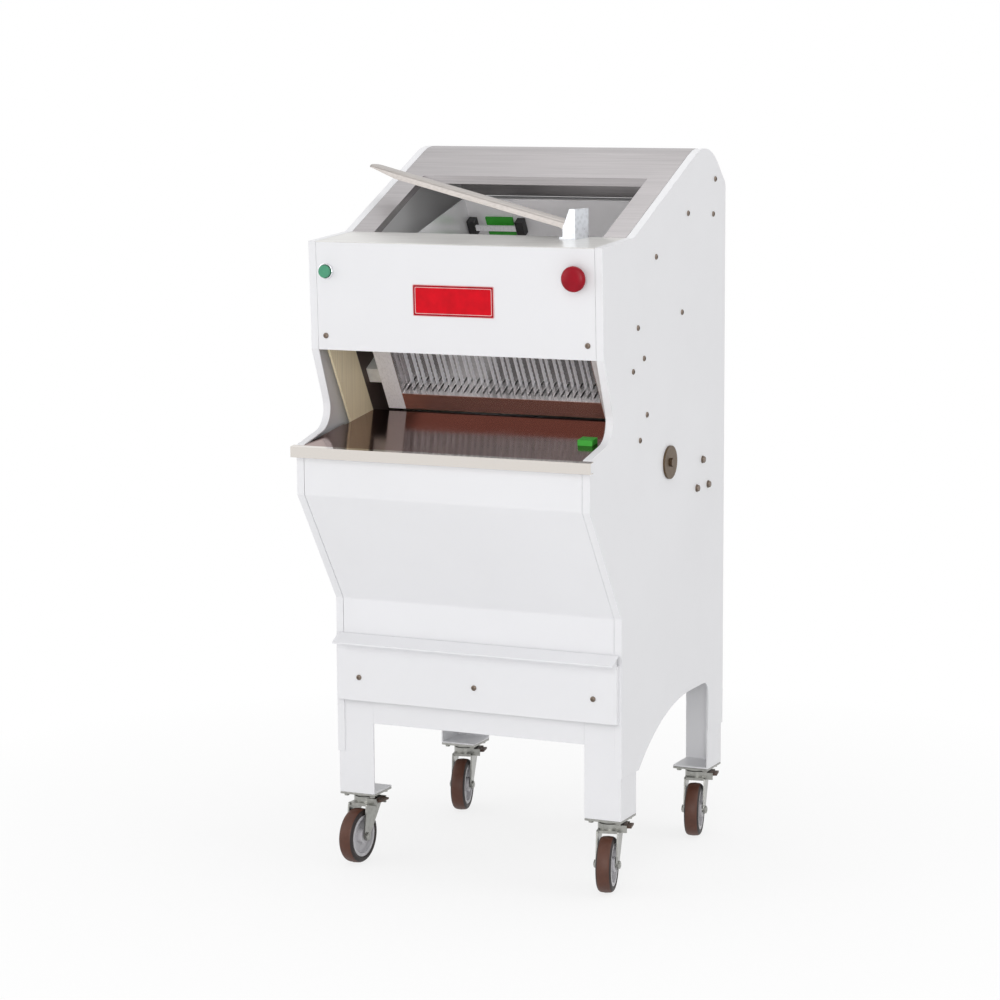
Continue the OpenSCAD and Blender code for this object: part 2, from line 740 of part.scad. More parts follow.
// Connecting rod pair: an eye on the frame's pin and a wide ring round the crank
module rods(x) {
    both() translate([x - rod_t / 2, 0, 0]) difference() {
        union() {
            rod_x(ring_bore_r + ring_w, 0, rod_t);
            translate([0, 0, rod_len]) rod_x(eye_r, 0, rod_t);
            box([0, -rod_w / 2, ring_bore_r + ring_w / 2], [rod_t, rod_w / 2, rod_len]);
        }
        translate([-overrun, 0, 0]) rod_x(ring_bore_r, 0, rod_t + 2 * overrun);
        translate([-overrun, 0, rod_len]) rod_x(pin_r + bore_gap, 0, rod_t + 2 * overrun);
    }
}
module front_rods() {
    color(zinc) tilted() rods(front_rod_x);
}
module rear_rods() {
    color(zinc) tilted() rods(rear_rod_x);
}

// Crankshaft with two pins on each side, half a turn apart
shaft_r = shaft_dia / 2;
web_r = 24;
web_t = 6;
shaft_end = half_w - housing_flange_t;
module crankshaft() {
    front_in = front_rod_x - rod_t / 2 - lug_gap;
    front_out = front_rod_x + rod_t / 2 + lug_gap;
    rear_in = rear_rod_x - rod_t / 2 - lug_gap;
    rear_out = rear_rod_x + rod_t / 2 + lug_gap;
    color(zinc) tilted() {
        rod_x(shaft_r, -front_in, front_in);
        both() {
            rod_x(web_r, front_in - web_t, front_in);
            translate([0, throw, 0]) rod_x(crank_pin_r, front_in - web_t, rear_in);
            rod_x(web_r, front_out, rear_in);
            translate([0, -throw, 0]) rod_x(crank_pin_r, front_out, rear_out + web_t);
            rod_x(web_r, rear_out, rear_out + web_t);
            rod_x(shaft_r, rear_out, shaft_end);
        }
    }
}
housing_reach = 14;
housing_in = plate_in - housing_reach;
// Bearing housings through the inner plates and panels, closed by a cap with a bolt
module crank_bearings() {
    color(steel) translate([0, crank_y, crank_z]) both() difference() {
        union() {
            rod_x(housing_r, housing_in, half_w);
            rod_x(housing_flange_r, half_w, half_w + housing_flange_t);
            translate([half_w, 0, 0]) rotate([0, 90, 0])
                cylinder(r = housing_bolt_r, h = housing_flange_t + housing_bolt_h, $fn = 6);
        }
        rod_x(shaft_r + bore_gap, housing_in - overrun, half_w - panel_t);
    }
}

// Belt drive
pulley_w = 18;
groove_w = 12;
groove_d = 6;
hub_r = 20;
hub_w = 30;
motor_nose_t = 10;
motor_front = plate_in - motor_len;
pulley_gap = 5;
pulley_x = motor_front - motor_nose_t - hub_w / 2 - pulley_gap;
motor_shaft_r = 7;
belt_t = 5;
belt_w = 10;
belt_gap = 0.7;
// Grooved pulley along X, centred on its belt
module pulley(dia, bore, hub) {
    difference() {
        union() {
            rod_x(dia / 2 - groove_d, -pulley_w / 2, pulley_w / 2);
            for (side = [-1, 1]) translate([side * (pulley_w + groove_w) / 4, 0, 0])
                rod_x(dia / 2, (groove_w - pulley_w) / 4, (pulley_w - groove_w) / 4);
            rod_x(hub, -hub_w / 2, hub_w / 2);
        }
        rod_x(bore, -hub_w, hub_w);
    }
}
module crank_pulley() {
    color(dark) translate([pulley_x, crank_y, crank_z]) pulley(crank_pulley_dia, shaft_r + bore_gap, hub_r);
}
motor_nose_r = 24;
motor_bore_d = 40;
fin_count = 18;
fin_h = 5;
fin_t = 3;
module motor_pulley() {
    color(dark) translate([0, motor_y, motor_z]) {
        translate([pulley_x, 0, 0]) pulley(motor_pulley_dia, motor_shaft_r / 2, motor_shaft_r * 2);
        rod_x(motor_shaft_r, pulley_x - hub_w / 2, motor_front + motor_bore_d - slide_gap);
    }
}
// Finned motor held to the inner plate, with its shaft towards the middle of the machine
module motor() {
    body_r = motor_dia / 2 - fin_h;
    color([0.35, 0.37, 0.4]) translate([0, motor_y, motor_z]) difference() {
        union() {
            rod_x(body_r, motor_front, plate_in);
            rod_x(motor_nose_r, motor_front - motor_nose_t, motor_front);
            for (i = [0 : fin_count - 1]) rotate([i * 360 / fin_count, 0, 0])
                box([motor_front + motor_nose_t, -fin_t / 2, body_r - fin_h],
                    [plate_in - motor_nose_t, fin_t / 2, motor_dia / 2]);
        }
        rod_x(motor_shaft_r + bore_gap, motor_front - motor_nose_t - overrun, motor_front + motor_bore_d);
        for (a = motor_bolt_turns) rotate([a, 0, 0]) translate([0, motor_bolt_circle, 0])
            rod_x(motor_bolt_r + hole_gap, plate_in - motor_bolt_depth, plate_in + overrun);
    }
}
// Outline of a belt round two circles, the first larger
function belt_path(m1, r1, m2, r2) =
    let (d = m2 - m1, way = atan2(d[1], d[0]), open = acos((r1 - r2) / norm(d)))
    concat(arc(m2, r2, way - open, way + open), arc(m1, r1, way + open, way + 360 - open));
module drive_belt() {
    crank_m = [crank_y, crank_z];
    motor_m = [motor_y, motor_z];
    r1 = crank_pulley_dia / 2 - groove_d + belt_gap;
    r2 = motor_pulley_dia / 2 - groove_d + belt_gap;
    color(dark) difference() {
        along_x(pulley_x - belt_w / 2, pulley_x + belt_w / 2)
            polygon(belt_path(crank_m, r1 + belt_t, motor_m, r2 + belt_t));
        along_x(pulley_x - belt_w, pulley_x + belt_w) polygon(belt_path(crank_m, r1, motor_m, r2));
    }
}

// Screws of the panels, the fascia and the rear cover, and the motor's bolts
screw_len = flange_w - panel_t;
motor_bolt_len = half_w - plate_in + motor_bolt_depth - panel_t;
module panel_screws() {
    color(zinc) {
        both() for (p = screw_places) translate([half_w, p[0], p[1]]) rotate([0, 90, 0]) pan_screw(screw_len);
        for (p = motor_bolts) translate([half_w, p[0], p[1]]) rotate([0, 90, 0])
            pan_screw(motor_bolt_len, motor_bolt_r, motor_bolt_head_r, motor_bolt_head_h);
        for (x = [-fascia_screw_x, fascia_screw_x]) on_fascia(x, fascia_screw_z) pan_screw(fascia_fold / 2);
        for (p = rear_screw_places) translate([p[0], rear_y, p[1]]) rotate([-90, 0, 0])
            pan_screw(fascia_fold / 2);
    }
}

// Crumb drawer on angle runners between the legs
runner_t = 2;
runner_h = 24;
runner_w = 16;
module drawer_runners() {
    color(zinc) both() {
        box([leg_in - runner_t, leg_front_y, drawer_z], [leg_in, leg_rear_y, drawer_z + runner_h]);
        box([leg_in - runner_w, leg_front_y, drawer_z], [leg_in, leg_rear_y, drawer_z + runner_t]);
    }
}
drawer_half = leg_in - runner_t - slide_gap;
drawer_floor_z = drawer_z + runner_t + slide_gap;
drawer_face_d = 10;
drawer_face_y = leg_y - seam - drawer_face_d;
drawer_wall_y = drawer_face_y + sheet_t;
drawer_top_z = drawer_floor_z + sheet_t + drawer_box_h;
drawer_inset = 5;
drawer_face_half = half_w - drawer_inset;
drawer_screw_in = 45;
drawer_screw_x = drawer_face_half - drawer_screw_in;
drawer_screw_up = 43;
drawer_screw_z = drawer_z + drawer_screw_up;
drawer_tab_half = drawer_face_half - flange_w;
module drawer_screw_holes() {
    for (x = [-1, 0, 1]) translate([x * drawer_screw_x, drawer_wall_y - fascia_fold, drawer_screw_z])
        rotate([-90, 0, 0]) cylinder(r = screw_r + hole_gap, h = 2 * fascia_fold);
}
module crumb_drawer() {
    color(steel) difference() {
        union() {
            box([-drawer_half, drawer_wall_y, drawer_floor_z],
                [drawer_half, drawer_wall_y + drawer_d, drawer_top_z]);
            box([-drawer_tab_half, drawer_wall_y, drawer_floor_z],
                [drawer_tab_half, drawer_wall_y + sheet_t, drawer_top_z]);
        }
        box([sheet_t - drawer_half, drawer_wall_y + sheet_t, drawer_floor_z + sheet_t],
            [drawer_half - sheet_t, drawer_wall_y + drawer_d - sheet_t, drawer_top_z + overrun]);
        drawer_screw_holes();
    }
}
// Painted drawer front with a sloping pull lip over its whole width
visor_reach = 17;
visor_drop = 14;
module drawer_front() {
    top_z = drawer_z + drawer_front_h;
    back_y = drawer_face_y + drawer_face_d;
    tip = [drawer_face_y - visor_reach, visor_z - visor_drop];
    visor_run = visor_reach + drawer_face_d - sheet_t;
    face_top_z = visor_z - visor_drop * (drawer_face_d - sheet_t) / visor_run - sheet_t / 2;
    color(paint) difference() {
        union() {
            along_x(-drawer_face_half, drawer_face_half)
                polygon(strip([[back_y - sheet_t, visor_z], tip, tip + [0, -visor_lap]], sheet_t));
            box([-drawer_face_half, drawer_face_y, drawer_z], [drawer_face_half, drawer_wall_y, face_top_z]);
            both() box([drawer_face_half - sheet_t, drawer_face_y, drawer_z],
                [drawer_face_half, back_y, top_z]);
        }
        drawer_screw_holes();
    }
}
module drawer_screws() {
    color(zinc) for (x = [-1, 0, 1]) translate([x * drawer_screw_x, drawer_face_y, drawer_screw_z])
        rotate([90, 0, 0]) pan_screw(drawer_face_d / 2);
}

// Hold-down arm: a channel that swings up on a pin in a bracket on the shelf
arm_in = 89.5;
arm_x = sheet_half - arm_in;
arm_setback = 20;
arm_y = hopper_y - arm_setback;
arm_turn = 16.5;
arm_rest = 10.7;
arm_t = 2;
arm_h = 12;
arm_pin_r = 4;
arm_eye = 10;
bracket_t = 2.5;
bracket_l = 36;
bracket_rise = 17;
ear_rise = 34;
arm_z = shelf_z - shelf_rise * arm_setback / shelf_d + bracket_rise;
ear_in = arm_w / 2 + slide_gap;
ear_out = ear_in + bracket_t;
module at_arm() {
    translate([arm_x, arm_y, arm_z]) rotate([0, 0, -arm_turn]) children();
}
module arm_bracket() {
    color(zinc) difference() {
        at_arm() {
            box([-bracket_l / 2, -ear_out, -2 * bracket_rise],
                [bracket_l / 2, ear_out, bracket_t - bracket_rise]);
            for (side = [-1, 1]) translate([0, side * (ear_in + ear_out) / 2, 0]) {
                rotate([90, 0, 0]) translate([0, 0, -bracket_t / 2]) {
                    cylinder(r = arm_eye, h = bracket_t);
                    linear_extrude(bracket_t) polygon([
                        [-arm_eye, -bracket_rise], [bracket_l / 2, -bracket_rise], [bracket_l / 2, ear_rise],
                        [arm_eye / 2, ear_rise], [-arm_eye, 0]
                    ]);
                }
            }
            box([bracket_l / 2 - bracket_t, -ear_out, -bracket_rise], [bracket_l / 2, ear_out, ear_rise]);
            rotate([90, 0, 0]) translate([0, 0, -ear_out]) cylinder(r = arm_pin_r, h = 2 * ear_out);
        }
        along_x(-half_w, half_w) polygon([
            [fascia_top_y, fascia_z], [hopper_y + bracket_l, fascia_z], [hopper_y + bracket_l, shelf_z],
            [hopper_y, shelf_z], [fascia_top_y, fascia_top_z]
        ]);
    }
}
module hold_down_arm() {
    color(steel) at_arm() rotate([0, arm_rest, 0]) difference() {
        union() {
            box([-arm_len, -arm_w / 2, arm_eye - arm_t], [arm_eye, arm_w / 2, arm_eye]);
            for (side = [-1, 1]) translate([0, side * (arm_w - arm_t) / 2, 0]) {
                box([-arm_len, -arm_t / 2, arm_eye - arm_h], [0, arm_t / 2, arm_eye]);
                box([-arm_eye, -arm_t / 2, -arm_eye / 2], [arm_eye, arm_t / 2, arm_eye]);
            }
        }
        rotate([90, 0, 0]) translate([0, 0, -arm_w]) cylinder(r = arm_pin_r + bore_gap, h = 2 * arm_w);
    }
}

// Push buttons
bezel_base = 2;
bezel_h = 6;
bezel_wall = 3;
stem_r = 5;
stem_len = 18;
barrel_len = 20;
cap_h = 5;
cap_edge = 1;
mushroom_h = 11;
mushroom_rim = 4;
neck_r = 8;
button_rest = bezel_base + button_travel + slide_gap;
module bezel(dia) {
    difference() {
        union() {
            cylinder(r = dia / 2 + bezel_wall, h = bezel_h);
            translate([0, 0, -barrel_len]) cylinder(r = button_hole_r, h = barrel_len);
        }
        translate([0, 0, bezel_base]) cylinder(r = dia / 2 + slide_gap, h = bezel_h);
        translate([0, 0, -barrel_len - overrun]) cylinder(r = stem_r + bore_gap, h = barrel_len + bezel_h);
    }
}
module button_bezels() {
    color(zinc) {
        on_fascia(start_x, button_z) bezel(start_dia);
        on_fascia(stop_x, button_z) bezel(2 * neck_r);
    }
}
switch_w = 24;
switch_h = 36;
switch_d = 34;
module switch_blocks() {
    color(dark) for (x = [start_x, stop_x]) on_fascia(x, button_z)
        box([-switch_w / 2, -switch_h / 2, -barrel_len - switch_d],
            [switch_w / 2, switch_h / 2, -barrel_len]);
}
module start_button() {
    color([0.35, 0.72, 0.58]) on_fascia(start_x, button_z) translate([0, 0, button_rest])
        rotate_extrude() polygon([
            [0, -stem_len], [stem_r, -stem_len], [stem_r, 0], [start_dia / 2, 0],
            [start_dia / 2, cap_h - cap_edge], [start_dia / 2 - cap_edge, cap_h], [0, cap_h]
        ]);
}
module stop_button() {
    head_z = bezel_h - bezel_base;
    dome = [for (a = [0 : arc_step : 90])
        [cos(a) * stop_dia / 2, head_z + mushroom_rim + sin(a) * (mushroom_h - mushroom_rim)]];
    color([0.68, 0.06, 0.13]) on_fascia(stop_x, button_z) translate([0, 0, button_rest]) rotate_extrude()
        polygon(concat([[0, -stem_len], [stem_r, -stem_len], [stem_r, 0], [neck_r, 0], [neck_r, head_z],
            [stop_dia / 2, head_z]], dome));
}

// Braked swivel casters, in the order front left, front right, rear left, rear right
caster_x = skin_in - leg_w / 2;
caster_front_y = leg_front_y + leg_w / 2;
caster_rear_y = leg_rear_y - leg_w / 2;
caster_spots = [
    [-caster_x, caster_front_y], [caster_x, caster_front_y],
    [-caster_x, caster_rear_y], [caster_x, caster_rear_y]
];
caster_headings = [-3, 13, 13, 13];
caster_plate_t = 4;
race_r = 20;
race_h = 6;
kingpin_r = 6;
nut_r = 9;
nut_h = 4;
crown_h = 15;
crown_r = 22;
fork_t = 3;
fork_gap = 2;
fork_eye_r = 10;
axle_r = 5;
wheel_r = wheel_dia / 2;
race_z = caster_h - caster_plate_t - race_h;
crown_z = race_z - slide_gap - crown_h;
nut_z = crown_z - slide_gap - nut_h;
fork_in = wheel_w / 2 + fork_gap;
fork_out = fork_in + fork_t;
bridge_t = 5;
module at_caster(i) {
    translate([caster_spots[i][0], caster_spots[i][1], 0]) rotate([0, 0, caster_headings[i]]) children();
}
// Square plate, race and kingpin bolted under each leg
module caster_plates() {
    color(zinc) for (p = caster_spots) translate([p[0], p[1], 0]) {
        translate([-leg_w / 2, -leg_w / 2, caster_h - caster_plate_t]) cube([leg_w, leg_w, caster_plate_t]);
        translate([0, 0, race_z]) cylinder(r = race_r, h = race_h + caster_plate_t / 2);
        translate([0, 0, nut_z]) cylinder(r = kingpin_r, h = race_z + race_h - nut_z);
        translate([0, 0, nut_z]) cylinder(r = nut_r, h = nut_h, $fn = 6);
    }
}
ear_t = 3;
ear_y = 15;
lever_x = 27;
lever_z = crown_z + crown_h / 2;
lever_pin_r = 3;
lever_eye_r = 5.5;
lever_reach = 40;
lever_t = 3.5;
// Swivel fork: crown on the kingpin, two trailing legs, the axle and the ears of the brake
module fork(i) {
    side = rounded([
        [crown_r, crown_z, fork_t], [crown_r, crown_z + bridge_t, 0], [-trail, crown_z + bridge_t, fork_t],
        [-trail - fork_eye_r, wheel_r, fork_eye_r], [-trail, wheel_r - fork_eye_r, fork_t],
        [fork_eye_r - trail, wheel_r, fork_eye_r]
    ]);
    color(zinc) at_caster(i) difference() {
        union() {
            translate([0, 0, crown_z]) cylinder(r = crown_r, h = crown_h);
            box([-fork_out, -trail + fork_t, crown_z], [fork_out, crown_r / 2, crown_z + bridge_t]);
            both() along_x(fork_in, fork_out) polygon(side);
            translate([0, -trail, wheel_r]) rod_x(axle_r, -fork_out - fork_t, fork_out + fork_t);
            for (s = [-1, 1]) translate([0, s * (ear_y + ear_t / 2), 0])
                box([0, -ear_t / 2, crown_z], [lever_x + lever_eye_r, ear_t / 2, lever_z + lever_eye_r]);
            translate([lever_x, 0, lever_z]) rotate([90, 0, 0]) translate([0, 0, -ear_y - ear_t])
                cylinder(r = lever_pin_r, h = 2 * (ear_y + ear_t));
        }
        translate([0, 0, crown_z - overrun]) cylinder(r = kingpin_r + bore_gap, h = crown_h + 2 * overrun);
    }
}
tread_t = 12;
rim_inset = 2;
rim_r = wheel_r - tread_t;
rim_w = wheel_w - 2 * rim_inset;
hub_caster_r = 14;
web_w = 10;
rim_t = 6;
module at_axle(i) {
    at_caster(i) translate([0, -trail, wheel_r]) rotate([0, 90, 0]) children();
}
// Pale hub and rim
module wheel(i) {
    color([0.75, 0.75, 0.73]) at_axle(i) rotate_extrude() polygon([
        [axle_r + bore_gap, -wheel_w / 2], [hub_caster_r, -wheel_w / 2], [hub_caster_r, -web_w / 2],
        [rim_r - rim_t, -web_w / 2], [rim_r - rim_t, -rim_w / 2], [rim_r, -rim_w / 2], [rim_r, rim_w / 2],
        [rim_r - rim_t, rim_w / 2], [rim_r - rim_t, web_w / 2], [hub_caster_r, web_w / 2],
        [hub_caster_r, wheel_w / 2], [axle_r + bore_gap, wheel_w / 2]
    ]);
}
tread_round = 6;
// Dark tread with rounded shoulders
module tyre(i) {
    color([0.3, 0.16, 0.13]) at_axle(i) rotate_extrude() polygon(rounded([
        [rim_r, -rim_w / 2, 0], [wheel_r, -wheel_w / 2, tread_round],
        [wheel_r, wheel_w / 2, tread_round], [rim_r, rim_w / 2, 0]
    ]));
}
// Foot lever of the brake on its pin
module brake_lever(i) {
    color([0.25, 0.2, 0.18]) at_caster(i) translate([lever_x, 0, lever_z]) difference() {
        union() {
            rotate([90, 0, 0]) translate([0, 0, slide_gap - ear_y])
                cylinder(r = lever_eye_r - slide_gap, h = 2 * (ear_y - slide_gap));
            box([0, -ear_y + slide_gap, 0], [lever_reach - lever_x, ear_y - slide_gap, lever_t]);
        }
        rotate([90, 0, 0]) translate([0, 0, -ear_y - overrun])
            cylinder(r = lever_pin_r + bore_gap, h = 2 * (ear_y + overrun));
    }
}

left_panel();
right_panel();
leg_posts();
base_rails();
left_inner_plate();
right_inner_plate();
panel_spacers();
fascia();
nameplate();
front_shelf();
hopper_surround();
apex_cap();
loaf_chute();
chute_trim();
stop_pads();
discharge_tray();
lower_front_cover();
rear_cover();
cord_gland();
guide_blocks();
crank_bearings();
motor();
drive_belt();
panel_screws();
drawer_runners();
arm_bracket();
button_bezels();
switch_blocks();
caster_plates();
front_blade_frame();
front_blades();
rear_blade_frame();
rear_blades();
front_rods();
rear_rods();
crankshaft();
crank_pulley();
motor_pulley();
crumb_drawer();
drawer_front();
drawer_screws();
hold_down_arm();
start_button();
stop_button();
fork(0);  // front_left_fork
wheel(0);  // front_left_wheel
tyre(0);  // front_left_tyre
brake_lever(0);  // front_left_brake
fork(1);  // front_right_fork
wheel(1);  // front_right_wheel
tyre(1);  // front_right_tyre
brake_lever(1);  // front_right_brake
fork(2);  // rear_left_fork
wheel(2);  // rear_left_wheel
tyre(2);  // rear_left_tyre
brake_lever(2);  // rear_left_brake
fork(3);  // rear_right_fork
wheel(3);  // rear_right_wheel
tyre(3);  // rear_right_tyre
brake_lever(3);  // rear_right_brake
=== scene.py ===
"""Looks of a floor-standing bread slicer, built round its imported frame. All lengths are in metres."""

import json
import math

import bmesh
import bpy
from mathutils import Matrix, Vector


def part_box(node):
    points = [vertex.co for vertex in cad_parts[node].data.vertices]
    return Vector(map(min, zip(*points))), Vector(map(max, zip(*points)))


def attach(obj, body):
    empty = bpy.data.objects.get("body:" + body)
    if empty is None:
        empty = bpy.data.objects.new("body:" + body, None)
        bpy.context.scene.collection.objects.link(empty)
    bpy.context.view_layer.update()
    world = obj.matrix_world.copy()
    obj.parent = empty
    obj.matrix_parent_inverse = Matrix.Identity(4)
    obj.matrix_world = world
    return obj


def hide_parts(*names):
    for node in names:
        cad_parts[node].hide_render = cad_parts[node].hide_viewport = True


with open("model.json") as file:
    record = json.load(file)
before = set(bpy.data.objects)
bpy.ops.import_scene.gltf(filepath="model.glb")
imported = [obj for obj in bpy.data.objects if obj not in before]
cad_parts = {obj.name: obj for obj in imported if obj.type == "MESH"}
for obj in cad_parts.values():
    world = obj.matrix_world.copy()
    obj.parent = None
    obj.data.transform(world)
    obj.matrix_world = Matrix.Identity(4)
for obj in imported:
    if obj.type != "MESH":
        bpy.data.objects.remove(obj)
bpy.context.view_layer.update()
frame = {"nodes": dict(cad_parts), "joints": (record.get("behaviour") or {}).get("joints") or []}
nodes = frame["nodes"]
joints = {joint["name"]: joint for joint in frame["joints"]}
scene = bpy.context.scene

# Camera of the photograph
CAMERA_PLACE = (2.243, -4.905, 1.475)
CAMERA_YAW = 24.9
CAMERA_DOWN = 8.58
CAMERA_ROLL = -0.30
CAMERA_LENS = 108.0
SENSOR = 36.0
VIEW_REACH = 100.0

# Studio: soft boxes as name, place, aim, size and watts
SOFT_BOXES = (
    ("key", (1.2, -4.0, 3.0), (0.0, 0.0, 0.7), 2.4, 30.0),
    ("front", (1.9, -4.6, 1.2), (0.0, 0.0, 0.9), 1.6, 44.0),
    ("fill", (-3.2, -2.6, 1.8), (0.0, 0.0, 0.6), 2.6, 30.0),
    ("side", (3.6, 0.2, 2.4), (0.0, 0.0, 0.7), 2.4, 25.0),
    ("top", (0.0, 0.3, 4.0), (0.0, 0.0, 0.8), 2.4, 30.0),
)
AMBIENT = 0.5
FLOOR_HALF = 12.0
FLOOR_NEAR = 0.5
FLOOR_FAR = 1.5
FLOOR_COLOUR = (0.9, 0.9, 0.9)
FLOOR_ROUGHNESS = 0.9
FLOOR_WHITE_SHARE = 0.8

# Rounds, welds and steps of the meshes
EDGE_ROUND = 0.0009
EDGE_SEGMENTS = 2
EDGE_ANGLE = math.radians(35.0)
WELD_DISTANCE = 0.00002
MEET_DISTANCE = 0.000005
FLAT_ANGLE = math.radians(0.2)
SMOOTH_ANGLE = math.radians(38.0)
TURN_STEPS = 48
CORNER_STEPS = 5
SORT_DIGITS = 5


# Camera, lights and stage
def add_camera():
    """Camera at the photograph's place and angle."""
    data = bpy.data.cameras.new("photo_camera")
    data.sensor_fit = "HORIZONTAL"
    data.sensor_width = SENSOR
    data.lens = CAMERA_LENS
    data.clip_end = VIEW_REACH
    camera = bpy.data.objects.new("photo_camera", data)
    turn = (Matrix.Rotation(math.radians(CAMERA_YAW), 4, "Z")
            @ Matrix.Rotation(math.pi / 2.0 - math.radians(CAMERA_DOWN), 4, "X")
            @ Matrix.Rotation(math.radians(CAMERA_ROLL), 4, "Z"))
    camera.matrix_world = Matrix.Translation(CAMERA_PLACE) @ turn
    scene.collection.objects.link(camera)
    scene.camera = camera


def add_light(name, place, aim, size, watts):
    """Square soft box at a place, facing a point."""
    data = bpy.data.lights.new(name, "AREA")
    data.size = size
    data.energy = watts
    light = bpy.data.objects.new(name, data)
    light.location = place
    light.rotation_euler = (Vector(aim) - Vector(place)).to_track_quat("-Z", "Y").to_euler()
    scene.collection.objects.link(light)


def link_math(tree, operation, first, second):
    """Output of a math node between two sockets."""
    node = tree.nodes.new("ShaderNodeMath")
    node.operation = operation
    tree.links.new(first, node.inputs[0])
    tree.links.new(second, node.inputs[1])
    return node.outputs[0]


def background_rays(tree):
    """1 for the rays that see the plain background: camera, glossy and transmission rays."""
    path = tree.nodes.new("ShaderNodeLightPath")
    seen = link_math(tree, "MAXIMUM", path.outputs["Is Camera Ray"], path.outputs["Is Glossy Ray"])
    return link_math(tree, "MAXIMUM", seen, path.outputs["Is Transmission Ray"])


def add_world():
    """White backdrop, with plain ambient light."""
    world = bpy.data.worlds.new("studio")
    world.use_nodes = True
    tree = world.node_tree
    plain = tree.nodes["Background"]
    white = tree.nodes.new("ShaderNodeBackground")
    for background, strength in ((plain, AMBIENT), (white, 1.0)):
        background.inputs["Color"].default_value = (1.0, 1.0, 1.0, 1.0)
        background.inputs["Strength"].default_value = strength
    mix = tree.nodes.new("ShaderNodeMixShader")
    tree.links.new(background_rays(tree), mix.inputs["Fac"])
    tree.links.new(plain.outputs["Background"], mix.inputs[1])
    tree.links.new(white.outputs["Background"], mix.inputs[2])
    tree.links.new(mix.outputs["Shader"], tree.nodes["World Output"].inputs["Surface"])
    scene.world = world


def add_floor():
    """Pale plain floor: it keeps the object's soft shadow near it, and is plain white further out."""
    mesh = bpy.data.meshes.new("floor")
    corners = [(x * FLOOR_HALF, y * FLOOR_HALF, 0.0) for x, y in ((-1, -1), (1, -1), (1, 1), (-1, 1))]
    mesh.from_pydata(corners, [], [(0, 1, 2, 3)])
    floor = bpy.data.objects.new("floor", mesh)
    scene.collection.objects.link(floor)
    material, tree, bsdf = shader("floor_white", FLOOR_COLOUR, FLOOR_ROUGHNESS)
    place = tree.nodes.new("ShaderNodeTexCoord")
    reach = tree.nodes.new("ShaderNodeVectorMath")
    reach.operation = "LENGTH"
    tree.links.new(place.outputs["Object"], reach.inputs[0])
    white = spread(tree, reach.outputs["Value"], FLOOR_WHITE_SHARE, 1.0, FLOOR_NEAR, FLOOR_FAR)
    glow = tree.nodes.new("ShaderNodeEmission")
    mix = tree.nodes.new("ShaderNodeMixShader")
    tree.links.new(link_math(tree, "MULTIPLY", background_rays(tree), white), mix.inputs["Fac"])
    tree.links.new(bsdf.outputs["BSDF"], mix.inputs[1])
    tree.links.new(glow.outputs["Emission"], mix.inputs[2])
    tree.links.new(mix.outputs["Shader"], tree.nodes["Material Output"].inputs["Surface"])
    mesh.materials.append(material)


# Material helpers
def shader(name, colour, roughness, metallic=0.0, **sockets):
    """Material with a Principled shader, whose constant values are set on its own sockets."""
    material = bpy.data.materials.new(name)
    material.use_nodes = True
    tree = material.node_tree
    bsdf = tree.nodes["Principled BSDF"]
    bsdf.inputs["Base Color"].default_value = (*colour, 1.0)
    bsdf.inputs["Roughness"].default_value = roughness
    bsdf.inputs["Metallic"].default_value = metallic
    for socket, value in sockets.items():
        bsdf.inputs[socket.replace("_", " ")].default_value = value
    return material, tree, bsdf


def coordinates(tree, stretch):
    """Object coordinates stretched along X, Y and Z."""
    place = tree.nodes.new("ShaderNodeTexCoord")
    mapping = tree.nodes.new("ShaderNodeMapping")
    mapping.inputs["Scale"].default_value = stretch
    tree.links.new(place.outputs["Object"], mapping.inputs["Vector"])
    return mapping.outputs["Vector"]


def noise(tree, scale, detail, stretch=(1.0, 1.0, 1.0), distortion=0.0):
    """Noise of the given scale, stretched along the axes."""
    texture = tree.nodes.new("ShaderNodeTexNoise")
    texture.inputs["Scale"].default_value = scale
    texture.inputs["Detail"].default_value = detail
    texture.inputs["Distortion"].default_value = distortion
    tree.links.new(coordinates(tree, stretch), texture.inputs["Vector"])
    return texture.outputs["Fac"]


def shades(tree, source, colour, stops):
    """Shades of a colour: each stop is a grey value and the share of the colour there."""
    node = tree.nodes.new("ShaderNodeValToRGB")
    elements = node.color_ramp.elements
    while len(elements) < len(stops):
        elements.new(1.0)
    for element, (place, share) in zip(elements, stops):
        element.position = place
        element.color = (*(min(1.0, channel * share) for channel in colour), 1.0)
    tree.links.new(source, node.inputs["Fac"])
    return node.outputs["Color"]


def spread(tree, source, low, high, start=0.0, end=1.0):
    """Grey value mapped from start..end to low..high."""
    node = tree.nodes.new("ShaderNodeMapRange")
    node.inputs["From Min"].default_value = start
    node.inputs["From Max"].default_value = end
    node.inputs["To Min"].default_value = low
    node.inputs["To Max"].default_value = high
    tree.links.new(source, node.inputs["Value"])
    return node.outputs["Result"]


def bump(tree, bsdf, source, strength):
    """Fine relief on the surface."""
    node = tree.nodes.new("ShaderNodeBump")
    node.inputs["Strength"].default_value = strength
    node.inputs["Distance"].default_value = RELIEF_DEPTH
    tree.links.new(source, node.inputs["Height"])
    tree.links.new(node.outputs["Normal"], bsdf.inputs["Normal"])


def uneven_gloss(tree, bsdf, source):
    """Roughness that wanders about the shader's own value."""
    roughness = bsdf.inputs["Roughness"].default_value
    wander = spread(tree, source, roughness - GLOSS_LESS, roughness + GLOSS_MORE)
    tree.links.new(wander, bsdf.inputs["Roughness"])


